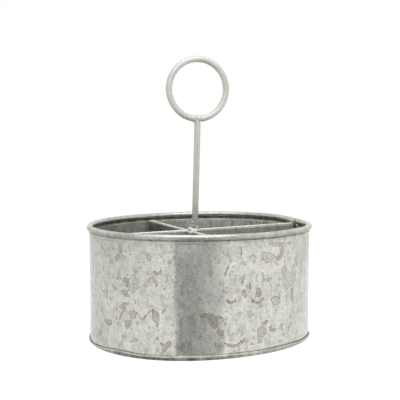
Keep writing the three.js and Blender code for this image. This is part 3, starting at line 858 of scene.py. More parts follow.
# Small dark spots there: a middle and a half width and height in pixels, and how dark
SPOTS = [
    (110, 255.7, 1.3, 1.6, 0.28), (101.6, 248, 1.1, 7, 0.16), (130.7, 254.6, 1.7, 1.2, 0.28),
    (171.5, 261.5, 1, 3, 0.16), (175.3, 258.4, 1.6, 2.4, 0.34), (164.5, 289.3, 1.2, 1.5, 0.36),
    (179.4, 285, 1.5, 1.2, 0.2), (191.4, 279.8, 1.1, 1.2, 0.24), (195.8, 280.3, 1.3, 1.6, 0.22),
    (196, 288.3, 1.6, 1.2, 0.3), (214.6, 258.2, 1.8, 2.3, 0.2), (210.9, 274.4, 2.3, 3, 0.26),
    (230.2, 260.8, 1.6, 2.6, 0.26), (236, 277, 1.1, 2.7, 0.26), (230.2, 276.5, 0.9, 4, 0.16),
    (246.4, 286.5, 1.5, 1.6, 0.22), (289, 242.8, 1.8, 2, 0.28), (260.4, 246.6, 3, 1.5, 0.18),
    (289.9, 259.3, 1, 1.6, 0.28), (295, 259.5, 1, 4, 0.18), (279.2, 285.2, 0.9, 1.3, 0.3),
    (107, 293, 1.1, 6, 0.22), (100, 296, 1, 3.5, 0.2), (94.4, 333, 1, 6.5, 0.2),
    (149.3, 327.2, 1.1, 2.3, 0.24), (157, 325, 1.4, 2, 0.36), (141, 344, 1.2, 1.7, 0.28),
    (144.7, 349.7, 1.4, 2.4, 0.26), (179.5, 351.8, 1.6, 1.2, 0.2), (204.6, 330, 1.5, 1.2, 0.24),
    (215.5, 344.3, 1.5, 3, 0.26), (219, 316.5, 1.5, 1.6, 0.42), (215, 326.8, 1.7, 1.6, 0.42),
    # The two tall thin spots at 305 across are a painted reflection: the dark line near the wall's right
    # end
    (254, 338.3, 1.1, 1.4, 0.3), (295.7, 323, 0.8, 1.2, 0.3), (305.3, 247, 0.7, 13, 0.2),
    (305, 277, 0.6, 17, 0.1), (227, 288.2, 2.4, 1.2, 0.14), (188, 315, 1.5, 2, 0.14),
]


def wall_line():
    """The middle of the wall's sheet, as its upright part and its curl."""
    flange = FACE_MIDDLE + 2 * FOLD_PITCH
    flange_foot = SHEET + FOLD_FIT + SHEET / 2
    flange_top = FOOT_SEAM - SHEET / 2 - FOLD_PITCH
    step = FACE_MIDDLE + SWAGE_STEP
    middle = (FACE_MIDDLE, SWAGE_FOOT / 2)
    foot = [(flange, flange_top), (flange, flange_foot), (FACE_MIDDLE, flange_foot), middle]
    swage = [middle, (FACE_MIDDLE, SWAGE_FOOT), (step, SWAGE_TOP), (step, NECK_TOP)]
    upright = np.concatenate([bent_line(foot, FOLD_PITCH), bent_line(swage, SWAGE_RISE, 4)[1:]])
    neck = arc((CURL_ACROSS, NECK_TOP), NECK_BEND, 0, math.pi / 2, BEND_STEPS)
    mouth = (NECK_BEND + SHEET + CURL_MOUTH) / CURL_RADIUS
    curl = arc((CURL_ACROSS, CURL_HEIGHT), CURL_RADIUS, -math.pi / 2, mouth - 2.5 * math.pi, CURL_STEPS)
    upright = without_doubles(finer(upright, SWAGE_FOOT / WALL_ROWS))
    return upright, without_doubles(np.concatenate([neck[1:], curl[1:]]))


def wall_dents(points):
    """Slow waves that forming and handling leave in the wall, none at the rim or foot."""
    height = (points[..., 2] - FOOT_SEAM) / (SWAGE_FOOT - FOOT_SEAM)
    window = np.sin(math.pi * np.clip(height, 0, 1)) ** 0.5
    return WALL_WANDER * window * double_ripple(points, WALL_WAVES, WALL_SEEDS)


def oval_corners(x, y, wide, tall):
    turn = np.linspace(0, 2 * math.pi, FLAKE_CORNERS, endpoint=False)
    return np.stack([x + wide * np.cos(turn), y + tall * np.sin(turn)], -1)


def depth_in(corners, spots):
    """How far each spot lies inside a closed outline, negative outside it."""
    side = np.roll(corners, -1, 0) - corners
    away = spots[:, None] - corners
    length = np.maximum(np.linalg.norm(side, axis=-1), SHEET / 100)
    share = np.clip((away * side).sum(-1) / length**2, 0, 1)
    gap = np.linalg.norm(away - share[..., None] * side, axis=-1).min(1)
    low, high = corners[:, 1], corners[:, 1] + side[:, 1]
    crossed = (low > spots[:, 1:2]) != (high > spots[:, 1:2])
    reach = away[..., 0] * side[:, 1] < away[..., 1] * side[:, 0]
    crossings = (crossed & (reach == (side[:, 1] > 0))).sum(1)
    return np.where(crossings % 2 == 1, gap, -gap)


class FlakeFields:
    """The numbers at the wall's points from which its material draws flakes."""

    def __init__(self, place):
        self.place = place
        shape = place.shape[:2]
        self.depth = np.full(shape, -float(FLAKE_REACH))
        self.fill = np.zeros(shape)
        self.edge = np.zeros(shape)

    def paint(self, corners, fill, edge):
        low, high = corners.min(0) - FLAKE_REACH, corners.max(0) + FLAKE_REACH
        around = ((self.place > low) & (self.place < high)).all(-1)
        depth = depth_in(corners, self.place[around])
        deeper = depth > self.depth[around]
        spots = tuple(axis[deeper] for axis in np.nonzero(around))
        self.depth[spots] = depth[deeper]
        self.fill[spots] = fill
        self.edge[spots] = edge

    def scatter(self, count, sizes, fills, allowed):
        """Angular flakes at random places on the sheet, where they are allowed."""
        random = np.random.default_rng(SCATTER_SEED + count)
        span = self.place[-1, 0, 0]
        for _ in range(count):
            middle = random.uniform((0, FOOT_SEAM), (span, SWAGE_FOOT))
            size = random.uniform(*sizes)
            stretch = random.uniform(0.5, 1)
            corners = np.sort(random.uniform(0, 2 * math.pi, FLAKE_CORNERS))
            radii = size * random.uniform(0.6, 1.2, FLAKE_CORNERS)
            tilt = random.uniform(0, math.pi)
            fill = random.uniform(*fills)
            if not allowed[np.searchsorted(self.place[:, 0, 0], middle[0])]:
                continue
            across, up = radii * np.cos(corners) * stretch, radii * np.sin(corners)
            cosine, sine = math.cos(tilt), math.sin(tilt)
            turned = np.stack([across * cosine - up * sine, across * sine + up * cosine], -1)
            self.paint(middle + turned, fill, fill + 0.14)


def flake_fields(points, half):
    """The flakes of the outer face: those of the photograph on its front, and scattered ones elsewhere."""
    face = points[:, :half]
    steps = np.linalg.norm(np.diff(face[:, half // 2, :2], axis=0), axis=1)
    along = np.concatenate([[0], np.cumsum(steps)])
    place = np.stack([np.broadcast_to(along[:, None], face.shape[:2]), face[..., 2]], -1)
    fields = FlakeFields(place)

    ahead = camera_axes()[2]
    outward = face[:, half // 2] * (1 / HALF_LENGTH**2, 1 / HALF_WIDTH**2, 0)
    front = outward @ ahead < 0
    seen, seen_place = seen_at(face[front]).reshape(-1, 2), place[front].reshape(-1, 2)

    def on_wall(corners):
        """Where pixels of the photograph meet the wall, along it and up it."""
        gaps = np.linalg.norm(seen[None] - np.asarray(corners, float)[:, None], axis=-1)
        return seen_place[gaps.argmin(1)]

    fields.scatter(*SMALL_FLAKES, np.ones(len(along) + 1, bool))
    fields.scatter(*LARGE_FLAKES, np.append(~front, False))
    for fill, edge, corners in FLAKES.values():
        fields.paint(on_wall(corners), fill, edge)
    for x, y, wide, tall, fill in SPOTS:
        fields.paint(on_wall(oval_corners(x, y, wide, tall)), fill, fill)

    def whole(values, rest):
        return np.concatenate([values, np.full((len(points), points.shape[1] - half), rest)], 1)

    return {
        "flake": whole(fields.depth, -float(FLAKE_REACH)),
        "flake_fill": whole(fields.fill, 0.0),
        "flake_edge": whole(fields.edge, 0.0),
    }


def near(value, middle, width):
    """1 at the middle, and falling smoothly to 0 on both sides of it."""
    return smooth(1 - np.abs(value - middle) / width)


def wall_painted_shade(turns, outline):
    """Painted shade on the wall: in the creases under the bead and over the seam, on the bead's underside,
    inside below the rim, and inside at the left.
    """
    height = outline[:, 1]
    half = len(outline) // 2
    outer = np.arange(len(outline)) < half
    corner = hills(turns, CORNER_SHADE)[:, None]
    crease = (0.85 - 0.3 * corner) * near(height, NECK_TOP + 0.3, 1.2)
    crease = crease + 0.16 * near(height, SWAGE_TOP + 1, 3.5) + 0.3 * corner * near(height, SWAGE_FOOT, 1)
    ends = np.clip(0.2 + hills(turns, WALL_FOOT_SHADE), 0, 1)[:, None]
    outside = np.maximum(crease, ends * near(height, FOOT_SEAM, 0.9))
    inner_neck = 0.8 * smooth((height - SWAGE_TOP + 0.6) / 1.2)
    left = hills(turns, INSIDE_SHADE)[:, None]
    inside = np.where(height < NECK_TOP + NECK_BEND, np.maximum(inner_neck, left), 0)
    across = (outline[:, 0] - CURL_ACROSS) / (RIM_DIAMETER / 2)
    down = (CURL_HEIGHT - height) / (RIM_DIAMETER / 2)
    under = np.where(across > 0, 0.42 * smooth((down + 0.55) / 1.2), 0.75 * smooth((down - 0.1) / 0.8))
    bead = height > NECK_TOP + NECK_BEND
    return np.where(outer, outside, np.where(bead, under, inside))


def inner_lap():
    """Points and faces of the wall's inner end, which lies behind its outer one."""
    turns = np.linspace(end_turn(SEAM_ACROSS - SEAM_CRACK), end_turn(SEAM_ACROSS + SEAM_LAP), LAP_STEPS)
    middle = -1.5 * SHEET
    outline = sheet_outline(finer(np.array([(middle, FOOT_SEAM + FOLD_PITCH), (middle, SWAGE_FOOT)]), 4))
    return swept_points(turns, outline).reshape(-1, 3), sheet_faces(LAP_STEPS, len(outline))


def build_wall():
    crack = end_turn(SEAM_ACROSS + SEAM_CRACK / 2), end_turn(SEAM_ACROSS - SEAM_CRACK / 2)
    turns = np.linspace(crack[0], crack[1] + 2 * math.pi, OVAL_STEPS)
    upright, curl = wall_line()
    outline = sheet_outline(np.concatenate([upright, curl]))
    rows = len(outline)
    half = rows // 2
    dents = wall_dents(swept_points(turns, outline)[:, :half])
    points = swept_points(turns, outline, np.concatenate([dents, dents[:, ::-1]], 1))
    lap_points, lap_faces = inner_lap()
    faces = sheet_faces(OVAL_STEPS, rows)
    faces += [[OVAL_STEPS * rows + i for i in face] for face in lap_faces]

    materials = [WALL_ZINC, INSIDE_ZINC, BEAD_ZINC]
    row = np.arange(rows)
    row_kinds = np.where(row < half, 0, np.where(row < rows - len(upright), 2, 1))
    kinds = np.tile(row_kinds, OVAL_STEPS - 1)
    kinds = np.append(kinds, np.ones(len(faces) - len(kinds)))
    # The painted shade of creases, the bead's underside and the rim's inside, with the flakes, as fields
    fields = {"painted_shade": wall_painted_shade(turns, outline), **flake_fields(points, half)}
    fields = {field: np.append(values, np.zeros(len(lap_points))) for field, values in fields.items()}
    points = np.concatenate([points.reshape(-1, 3), lap_points])
    make_piece("tub_wall_sheet", "tub_wall", points, faces, materials, kinds, fields)


def build_rim_wire():
    turns = np.linspace(0, 2 * math.pi, OVAL_STEPS // 2, endpoint=False)
    radius = RIM_DIAMETER / 2 - SHEET - RIM_WIRE_FIT
    outline = arc((CURL_ACROSS, CURL_HEIGHT), radius, 0, 2 * math.pi, TUBE_SIDES)[1:]
    points = swept_points(turns, outline).reshape(-1, 3)
    faces = ring_faces(len(turns), TUBE_SIDES, True)
    make_piece("rim_wire_core", "rim_wire", points, faces, [WIRE_ZINC])


def build_side_solder():
    """A thin, uneven fillet along the inner edge of the side seam's lap, dark as painted shade for the gap
    there.
    """
    heights = np.linspace(FOOT_SEAM + FOLD_PITCH, SWAGE_FOOT, FILLET_STEPS)[:, None]
    turn = end_turn(SEAM_ACROSS + SEAM_LAP + SEAM_SOLDER / 3)
    middle = oval(np.array([turn]), np.array([-SHEET]))[0]
    swell = 1 + 0.35 * ripple(heights * (0, 0, 1), FILLET_WAVES, FILLET_SEED)[:, None]
    swell[[0, -1]] = 0.4
    angles = np.linspace(0, 2 * math.pi, FILLET_SIDES, endpoint=False)
    x = middle[0] + 0.45 * swell * np.cos(angles)
    y = middle[1] + SEAM_SOLDER * 0.75 * swell * np.sin(angles)
    points = np.stack([x, y, np.broadcast_to(heights, x.shape)], -1).reshape(-1, 3)
    faces = tube_faces(FILLET_STEPS, FILLET_SIDES)
    make_piece("side_seam_fillet", "side_seam_solder", points, faces, [SHADOW_GAP_SOLDER])


# Base


def base_line():
    """The middle of the base's sheet, from its floor out and round the folded seam."""
    outer_leg = FACE_MIDDLE + 3 * FOLD_PITCH
    inner_leg = FACE_MIDDLE + FOLD_PITCH
    panel_edge = -FLOOR_BORDER - FLOOR_STEP
    floor_middle = FLOOR_RISE + SHEET / 2
    fold_top = FOOT_SEAM - SHEET / 2
    corners = [
        (panel_edge - FLOOR_STEP, floor_middle),
        (panel_edge, floor_middle),
        (-FLOOR_BORDER, SHEET / 2),
        (outer_leg, SHEET / 2),
        (outer_leg, fold_top),
        (inner_leg, fold_top),
        (inner_leg, SHEET + FOLD_FIT + SHEET / 2 + FOLD_PITCH),
    ]
    return without_doubles(finer(bent_line(corners, FOLD_PITCH), 0.8))


def base_painted_shade(turns, outline):
    """Painted shade in the crease between seam and wall, and low on the seam, where there is more at the
    left, and faintly over all of the seam's outside.
    """
    offset, height = outline.T
    ends = np.clip(0.05 + hills(turns, SEAM_CREASE_SHADE), 0, 1)
    left = np.clip(0.25 + hills(turns, SEAM_FOOT_SHADE), 0, 1)
    low = smooth((FOOT_SEAM - 0.6 - height) / 0.9) * (offset > 0)
    crease = near(offset, 0.45, 0.7) * (height > FOOT_SEAM / 2)
    seam_shade = 0.14 * (offset > 0.5)
    return np.maximum(np.maximum(left[:, None] * low, ends[:, None] * crease), seam_shade)


def floor_wave(points):
    return FLOOR_WANDER * ripple(points * (1, 1, 0), FLOOR_WAVES, FLOOR_SEED)


def floor_rows(rim, height):
    """Points of the raised floor at this height, on the way from near its middle out to its rim."""
    rows = []
    for share in FLOOR_RINGS:
        row = np.concatenate([rim * share, np.full((len(rim), 1), height)], 1)
        row[:, 2] += floor_wave(row) * (1 - share**4)
        rows.append(row)
    return np.stack(rows, 1)


def build_base():
    outline = sheet_outline(base_line())
    turns = np.linspace(0, 2 * math.pi, OVAL_STEPS, endpoint=False)
    crimp = double_ripple(swept_points(turns, outline), SEAM_WAVES, SEAM_SEEDS)
    outside = np.clip((outline[:, 0] - FACE_MIDDLE - 2 * FOLD_PITCH) / FOLD_PITCH, 0, 1)
    border = swept_points(turns, outline, FOOT_WANDER * crimp * outside)
    rim = oval(turns, np.full(len(turns), outline[0, 0]))
    upper = floor_rows(rim, FLOOR_RISE + SHEET)[:, ::-1]
    columns = np.concatenate([floor_rows(rim, FLOOR_RISE), border, upper], 1)

    count, rows = columns.shape[:2]
    faces = ring_faces(count, rows, True, open_rows=True)
    for i in range(count):
        onward = (i + 1) % count
        faces.append([count * rows, onward * rows, i * rows])
        faces.append([count * rows + 1, i * rows + rows - 1, onward * rows + rows - 1])
    lift = floor_wave(np.zeros((1, 3)))[0]
    centres = [(0, 0, FLOOR_RISE + lift), (0, 0, FLOOR_RISE + SHEET + lift)]
    points = np.concatenate([columns.reshape(-1, 3), centres])
    rings = len(FLOOR_RINGS)
    # Painted shade in the seam's crease, low on the seam and faintly over its outside
    painted_shade = np.pad(base_painted_shade(turns, outline), ((0, 0), (rings, rings)))
    fields = {"painted_shade": np.append(painted_shade, [0, 0])}
    make_piece("base_pan", "base_plate", points, faces, [FLOOR_ZINC], None, fields)


# Dividers


def wall_reach(half_along, half_across, at):
    inset = SHEET + SEAT_FIT + SHEET / 2
    share = abs(at) / (half_across - inset)
    return (half_along - inset) * (1 - share**OVAL_POWER) ** (1 / OVAL_POWER)


def hem_section():
    """Across and up: the plate, over the top and down the hem's folded leg."""
    top = DIVIDER_TOP - SHEET / 2
    upright = np.array([(0, DIVIDER_FOOT), (0, DIVIDER_MIDDLE), (0, top - PLATE_SHIFT)])
    fold = arc((PLATE_SHIFT, top - PLATE_SHIFT), PLATE_SHIFT, math.pi, 0, 2 * BEND_STEPS)
    leg = np.array([(2 * PLATE_SHIFT, DIVIDER_TOP - HEM_DROP)])
    plate = finer(upright, (DIVIDER_TOP - DIVIDER_FOOT) / DIVIDER_ROWS)
    return np.concatenate([plate, fold[1:], finer(np.concatenate([fold[-1:], leg]), 1.5)[1:]]), len(plate)


def plan_line(half_along, half_across, plate_at, tab_side, stops):
    """The divider's sheet seen from above, from tab to tab, with a point at each of these stops along X."""
    end = np.array([wall_reach(half_along, half_across, plate_at), plate_at])
    tab_at = plate_at + tab_side * TAB_WIDTH
    tip = np.array([wall_reach(half_along, half_across, tab_at), tab_at])
    mirror = np.array([-1, 1])
    line = finer(bent_line([tip * mirror, end * mirror, end, tip], TAB_BEND), 2 * end[0] / DIVIDER_COLUMNS)
    straight = np.abs(line[:, 0]) < end[0] - 2 * TAB_BEND
    for stop in stops:
        spots = np.where(straight, np.abs(line[:, 0] - stop), np.inf)
        line[np.argmin(spots), 0] = stop
    return line


def divider_faces(plan, section, plate_rows, reach, slot):
    """Quads of the sheet, without those past the hem's ends or in the slot.

    The slot is two places along the divider and two heights.
    """
    faces = []
    rows = len(section)
    for i in range(len(plan) - 1):
        along = (plan[i, 0] + plan[i + 1, 0]) / 2
        for j in range(rows - 1):
            height = (section[j, 1] + section[j + 1, 1]) / 2
            past_hem = j >= plate_rows - 1 and abs(along) > reach
            slotted = slot[0] < along < slot[1] and slot[2] < height < slot[3]
            if not past_hem and not slotted:
                corner = i * rows + j
                faces.append([corner, corner + rows, corner + rows + 1, corner + 1])
    return np.array(faces)


def divider_points(plan, section, reach, seed, shift, rise):
    """Points of a divider made along X, wavy between its tabs, whose top rises to its far end."""
    direction = np.gradient(plan, axis=0)
    direction /= np.linalg.norm(direction, axis=1, keepdims=True)
    normal = np.stack([-direction[:, 1], direction[:, 0]], -1)
    place = plan[:, None, :] + normal[:, None, :] * section[None, :, 0:1]
    height = np.broadcast_to(section[None, :, 1:2], (*place.shape[:2], 1))
    points = np.concatenate([place, height], -1)
    waves = double_ripple(points * (1, 0, 1), DIVIDER_WAVES, (seed, seed + 1))
    loose = np.clip((reach - np.abs(points[..., 0])) / 10, 0, 1)
    points[..., 1] += DIVIDER_WANDER * waves * loose
    points[..., 0] += shift
    high = section[:, 1] > DIVIDER_MIDDLE
    wander = HEM_WANDER * ripple(points * (1, 0, 0), HEM_WAVES, seed + 2) * loose
    points[..., 2] += (wander + rise * np.clip(0.5 + 0.5 * points[..., 0] / reach, 0, 1)) * high
    return points.reshape(-1, 3)


def build_divider(node, halves, hem_at, tab_side, slot, materials, seed, shift=0.0, rise=0.0, turned=False):
    """A divider made along X and turned across the tub if need be.

    The slot is its middle, width, lowest and highest.
    """
    section, plate_rows = hem_section()
    slot_at, slot_width, *slot_heights = slot
    slot_ends = slot_at - slot_width / 2, slot_at + slot_width / 2
    reach = wall_reach(*halves, hem_at - PLATE_SHIFT) - HEM_SETBACK
    plan = plan_line(*halves, hem_at - PLATE_SHIFT, tab_side, [*slot_ends, -reach, reach])
    points = divider_points(plan, section, reach, seed, shift, rise)
    faces = divider_faces(plan, section, plate_rows, reach, (*slot_ends, *slot_heights))
    if turned:
        points = np.stack([-points[:, 1], points[:, 0], points[:, 2]], -1)
    used = np.unique(faces)
    order = np.full(len(points), -1)
    order[used] = np.arange(len(used))
    piece = new_object(node + "_sheet", new_mesh(node, points[used], order[faces].tolist()))
    thicken = piece.modifiers.new("sheet", "SOLIDIFY")
    thicken.thickness = SHEET * MM
    thicken.offset = 0
    thicken.material_offset = len(materials) - 1
    finish_piece(baked(piece), node, materials)


def build_dividers():
    slot = CROSS_ALONG + PLATE_SHIFT - LAP_SHIFT, SHEET + 2 * SLOT_FIT, 0, DIVIDER_MIDDLE
    halves = HALF_LENGTH + LAP_SHIFT, HALF_WIDTH
    materials = [DIVIDER_ZINC]
    build_divider("long_divider", halves, CROSS_ACROSS, 1, slot, materials, LONG_SEED, LAP_SHIFT, HEM_RISE)
    slot = CROSS_ACROSS, HEM_THICKNESS + 2 * SLOT_FIT, DIVIDER_MIDDLE, TUB_TOP
    halves = HALF_WIDTH, HALF_LENGTH
    # The cross divider's left face takes the darker copy, as painted shade
    materials = [PAINTED_SHADE_ZINC, DIVIDER_ZINC]
    build_divider("cross_divider", halves, -CROSS_ALONG, -1, slot, materials, CROSS_SEED, turned=True)


# Handle


def lean_points(side, rise):
    """Points of the leaning part, from their distances beside and above the top of the dividers."""
    side, rise = np.broadcast_arrays(np.asarray(side, float), np.asarray(rise, float))
    across = side * math.cos(ROD_LEAN) + rise * math.sin(ROD_LEAN)
    up = rise * math.cos(ROD_LEAN) - side * math.sin(ROD_LEAN)
    return np.stack([across, np.zeros_like(across), DIVIDER_TOP + up], -1)


RING_RISE = (RING_HEIGHT - DIVIDER_TOP) / math.cos(ROD_LEAN)
BEND_RISE = RING_RISE - math.sqrt((RING_RADIUS + ROD_BEND) ** 2 - (RING_SIDE + ROD_BEND) ** 2)
BEND_TURN = math.atan2(RING_RISE - BEND_RISE, RING_SIDE + ROD_BEND)
RING_GAP = math.asin((WIRE_RADIUS - RING_SIDE) / RING_RADIUS)


def handle_route():
    """Up the rod, out to the left, and clockwise round the ring to the rod's other side."""
    below = np.linspace(DIVIDER_FOOT, DIVIDER_TOP, ROD_FOOT_STEPS, endpoint=False)
    foot = below[:, None] * (0, 0, 1)
    rod = lean_points(0, np.linspace(0, BEND_RISE, ROD_STEPS, endpoint=False))
    bend = arc((-ROD_BEND, BEND_RISE), ROD_BEND, 0, BEND_TURN, ROD_BEND_STEPS)[:-1]
    ring = arc((RING_SIDE, RING_RISE), RING_RADIUS, BEND_TURN + math.pi, RING_GAP - math.pi / 2, RING_STEPS)
    route = np.concatenate([foot, rod, lean_points(*bend.T), lean_points(*ring.T)])
    loose = np.clip((route[:, 2] - DIVIDER_TOP) / 20, 0, 1)
    for axis, seed in enumerate(WIRE_SEEDS):
        route[:, axis] += WIRE_WANDER * loose * ripple(route, WIRE_WAVES, seed)
    return route


def to_rod(points):
    """From the handle's own frame to the part's."""
    cosine, sine = math.cos(HANDLE_TURN), math.sin(HANDLE_TURN)
    x = points[..., 0] * cosine - points[..., 1] * sine
    y = points[..., 0] * sine + points[..., 1] * cosine
    foot = CROSS_ALONG + ROD_OFFSET, CROSS_ACROSS - ROD_OFFSET
    return np.stack([x + foot[0], y + foot[1], points[..., 2]], -1)


def tube_points(route, radius):
    """Rings of points round a route that lies nearly in one upright plane."""
    direction = np.gradient(route, axis=0)
    direction /= np.linalg.norm(direction, axis=1, keepdims=True)
    aside = np.array([0, 1, 0]) - direction * direction[:, 1:2]
    aside /= np.linalg.norm(aside, axis=1, keepdims=True)
    outward = np.cross(direction, aside)
    angles = np.linspace(0, 2 * math.pi, WIRE_SIDES, endpoint=False)
    cosine, sine = np.cos(angles)[None, :, None], np.sin(angles)[None, :, None]
    return route[:, None] + radius * (cosine * aside[:, None] + sine * outward[:, None])


def build_handle():
    route = handle_route()
    points = to_rod(tube_points(route, WIRE_RADIUS)).reshape(-1, 3)
    faces = tube_faces(len(route), WIRE_SIDES)
    make_piece("ring_handle", "handle", points, faces, [WIRE_ZINC])


# Welds and solder


def build_lump(name, node, blobs, seed, rough, metal=SOLDER):
    """One lumpy body from blobs, each a middle and three radii, run together and roughened."""
    shape = bmesh.new()
    for middle, radii in blobs:
        place = Matrix.Translation(Vector(middle) * MM) @ Matrix.Diagonal((*(r * MM for r in radii), 1))
        bmesh.ops.create_icosphere(shape, subdivisions=4, radius=1, matrix=place)
    piece = new_object(name, mesh_of(name, shape))
    remesh = piece.modifiers.new("fuse", "REMESH")
    remesh.mode = "VOXEL"
    remesh.voxel_size = LUMP_VOXEL * MM
    melt = piece.modifiers.new("melt", "SMOOTH")
    melt.factor = 0.5
    melt.iterations = 6
    mesh = baked(piece).data
    spots, normals = np.empty((2, len(mesh.vertices), 3))
    mesh.vertices.foreach_get("co", spots.reshape(-1))
    mesh.vertex_normals.foreach_get("vector", normals.reshape(-1))
    bulge = double_ripple(spots / MM, LUMP_WAVES, (seed, seed + 50))
    mesh.vertices.foreach_set("co", (spots + normals * bulge[:, None] * rough * MM).reshape(-1))
    finish_piece(piece, node, [metal])


def build_welds():
    ring_foot = RING_RISE - RING_RADIUS
    blobs = []
    for (side, rise), radii in RING_DRIPS:
        place = lean_points(side * WIRE_RADIUS, ring_foot + rise * WIRE_RADIUS)
        blobs.append((to_rod(place), radii))
    build_lump("ring_weld_lump", "ring_weld", blobs, RING_WELD_SEED, RING_WELD_ROUGH, WIRE_ZINC)

    foot = to_rod(np.array([0, 0, DIVIDER_TOP]))
    blobs = [(foot + place, radii) for place, radii in ROD_DRIPS]
    for i in range(ROD_BLOBS):
        turn = 2 * math.pi * i / ROD_BLOBS
        spot = foot + (WIRE_RADIUS * math.cos(turn), WIRE_RADIUS * math.sin(turn), -ROD_BLOB / 4)
        blobs.append((spot, (ROD_BLOB * (1 + 0.12 * math.sin(9 * turn)),) * 3))
    build_lump("rod_weld_lump", "rod_weld", blobs, ROD_WELD_SEED, WELD_ROUGH)
    crossing = np.array([CROSS_ALONG, CROSS_ACROSS, DIVIDER_TOP])
    blobs = [(crossing + place, radii) for place, radii in CROSSING_DRIPS]
    build_lump("crossing_weld_lump", "crossing_weld", blobs, CROSSING_WELD_SEED, WELD_ROUGH)

    # The tacks are dark solder: painted shade for the gaps between the tabs and the wall
    for number, node in enumerate(sorted(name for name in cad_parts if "_tack_" in name)):
        low, high = box_mm(node)
        blobs = [((low + high) / 2, (high - low) / 2)]
        build_lump(node + "_lump", node, blobs, TACK_SEED + number, TACK_ROUGH, SHADOW_GAP_SOLDER)


# Studio: floor, cards, lamps and camera


def staged(name, mesh, material, only_reflected=False):
    """A thing of the studio, which may be seen nowhere but in the metal."""
    mesh.materials.append(material)
    piece = new_object(name, mesh)
    if only_reflected:
        piece.visible_camera = piece.visible_diffuse = piece.visible_shadow = False


def paper(nodes, grey, glow):
    """Matt grey paper, and the same paper with light of its own."""
    matt = nodes.add("ShaderNodeBsdfDiffuse", {"Color": (grey, grey, grey, 1)}).outputs[0]
    light = nodes.add("ShaderNodeEmission", {"Color": WHITE, "Strength": glow}).outputs[0]
    return matt, nodes.add("ShaderNodeAddShader", {0: matt, 1: light}).outputs[0]


def build_floor():
    """A white floor that the camera sees lit from within, and that the metal sees with its real shade."""
    nodes = new_material("studio_floor")
    rays = nodes.add("ShaderNodeLightPath").outputs
    reflected = nodes.math("MAXIMUM", rays["Is Glossy Ray"], rays["Is Transmission Ray"])
    plain, in_metal = paper(nodes, PAPER_GREY, PAPER_GLOW)
    in_camera = paper(nodes, SEEN_GREY, SEEN_GLOW)[1]
    lit = nodes.add("ShaderNodeMixShader", {0: reflected, 1: plain, 2: in_metal}).outputs[0]
    both = nodes.add("ShaderNodeMixShader", {0: rays["Is Camera Ray"], 1: lit, 2: in_camera})
    shape = bmesh.new()
    bmesh.ops.create_circle(shape, cap_ends=True, segments=STUDIO_SIDES, radius=STUDIO_RADIUS)
    staged("floor", mesh_of("floor", shape), nodes.finish(both))


def build_world():
    """White where the camera or the metal sees it, and dimmer as a light on matt surfaces."""
    nodes = Nodes(bpy.data.worlds.new("studio"))
    rays = nodes.add("ShaderNodeLightPath").outputs
    either = nodes.math("MAXIMUM", rays["Is Camera Ray"], rays["Is Glossy Ray"])
    any_ray = nodes.math("MAXIMUM", either, rays["Is Transmission Ray"])
    strength = nodes.remap(any_ray, 0, 1, WORLD_LIGHT, 1)
    sky = nodes.add("ShaderNodeBackground", {"Color": WHITE, "Strength": strength})
    bpy.context.scene.world = nodes.finish(sky, "ShaderNodeOutputWorld")


def build_lamp(name, azimuth, distance, height, size, radiance, shines):
    lamp = bpy.data.lights.new(name, "AREA")
    lamp.shape = "RECTANGLE"
    lamp.size, lamp.size_y = size[0] * MM, size[1] * MM
    lamp.energy = radiance * math.pi * lamp.size * lamp.size_y
    holder = new_object(name, lamp)
    holder.location = Vector(turned_point(math.radians(azimuth), distance, height)) * MM
    aim = Vector((0, 0, TUB_TOP / 2)) * MM - holder.location
    holder.rotation_euler = aim.to_track_quat("-Z", "Y").to_euler()
    holder.visible_camera = False
    holder.visible_glossy = shines


def turned_point(azimuth, distance, height=0.0):
    """A point seen from the middle of the tub at this azimuth from the camera, to the camera's right."""
    turn = CAMERA_TURN - azimuth
    return np.array([-math.sin(turn) * distance, -math.cos(turn) * distance, height])


def camera_axes():
    """The camera's place, and its directions to the right, ahead and up."""
    eye = turned_point(0, CAMERA_DISTANCE, CAMERA_HEIGHT)
    right = turned_point(math.pi / 2, 1)
    ahead = turned_point(math.pi, math.cos(CAMERA_DIP), -math.sin(CAMERA_DIP))
    return eye, right, ahead, np.cross(right, ahead)


def seen_at(points):
    """The pixels of the photograph at which these points are seen."""
    eye, right, ahead, up = camera_axes()
    away = points - eye
    scale = PHOTO_SIZE * CAMERA_LENS / CAMERA_SENSOR / (away @ ahead)
    return np.stack([PHOTO_SIZE / 2 + away @ right * scale, PHOTO_SIZE / 2 - away @ up * scale], -1)


def glow_across(nodes, stops):
    """Light whose brightness follows these places and greys across the card."""
    ramp = nodes.add("ShaderNodeValToRGB", {0: nodes.attribute("across")})
    elements = ramp.color_ramp.elements
    while len(elements) < len(stops):
        elements.new(0.5)
    for element, (position, grey) in zip(elements, stops):
        element.position = position
        element.color = (grey, grey, grey, 1)
    return nodes.add("ShaderNodeEmission", {"Color": ramp.outputs[0], "Strength": 1.0})


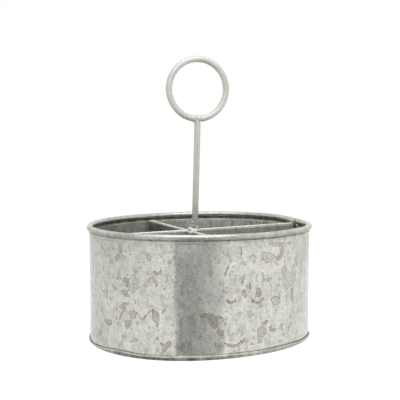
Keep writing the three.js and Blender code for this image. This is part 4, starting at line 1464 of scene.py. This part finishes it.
def build_band_card():
    """Dark paper on the floor, fanning out from the tub's foot, seen only in the metal."""
    across = np.linspace(0, 1, BAND_COLUMNS)[:, None]
    out = np.linspace(BAND_NEAR, BAND_FAR, BAND_ROWS)[None, :]
    start_x, start_y, azimuth = (np.array(BAND_LEFT) * (1 - across) + np.array(BAND_RIGHT) * across).T
    start = np.stack([start_x, start_y], -1)
    ways = np.array([turned_point(way, 1)[:2] for way in np.radians(azimuth)])
    flat = start[:, None] + ways[:, None] * out[..., None]
    points = np.concatenate([flat, np.full((BAND_COLUMNS, BAND_ROWS, 1), BAND_RISE)], -1)
    faces = ring_faces(BAND_COLUMNS, BAND_ROWS, False, open_rows=True)
    mesh = new_mesh("band_card", points.reshape(-1, 3), faces)
    add_field(mesh, "across", np.repeat(across, BAND_ROWS))
    nodes = new_material("band_card")
    staged("band_card", mesh, nodes.finish(glow_across(nodes, BAND_GLOW)), only_reflected=True)


def build_standing_card():
    """A grey card that stands in front, over the tub's rim, seen only in the metal and most in the wire."""
    nodes = new_material("card_grey")
    glow = nodes.add("ShaderNodeEmission", {"Color": WHITE, "Strength": CARD_GREY})
    low, high = CARD_HEIGHTS
    side = math.atan2(CARD_WIDTH / 2, CARD_DISTANCE)
    reach = math.hypot(CARD_WIDTH / 2, CARD_DISTANCE)
    corners = [(-side, low), (side, low), (side, high), (-side, high)]
    points = [turned_point(azimuth, reach, height) for azimuth, height in corners]
    mesh = new_mesh("card", points, [[0, 1, 2, 3]])
    staged("card", mesh, nodes.finish(glow), only_reflected=True)


def build_camera():
    data = bpy.data.cameras.new("camera")
    data.sensor_width = CAMERA_SENSOR
    data.lens = CAMERA_LENS
    data.clip_start, data.clip_end = CAMERA_NEAREST, CAMERA_FARTHEST
    camera = new_object("camera", data)
    eye, _, ahead, _ = camera_axes()
    camera.location = Vector(eye) * MM
    camera.rotation_euler = Vector(ahead).to_track_quat("-Z", "Y").to_euler()
    bpy.context.scene.camera = camera


build_camera()
build_world()
build_floor()
build_band_card()
build_standing_card()
for name, (spot, size, radiance, shines) in LAMPS.items():
    build_lamp(name, *spot, size, radiance, shines)

build_wall()
build_rim_wire()
build_side_solder()
build_base()
build_dividers()
build_handle()
build_welds()

settings = bpy.context.scene.view_settings
settings.view_transform = "Standard"
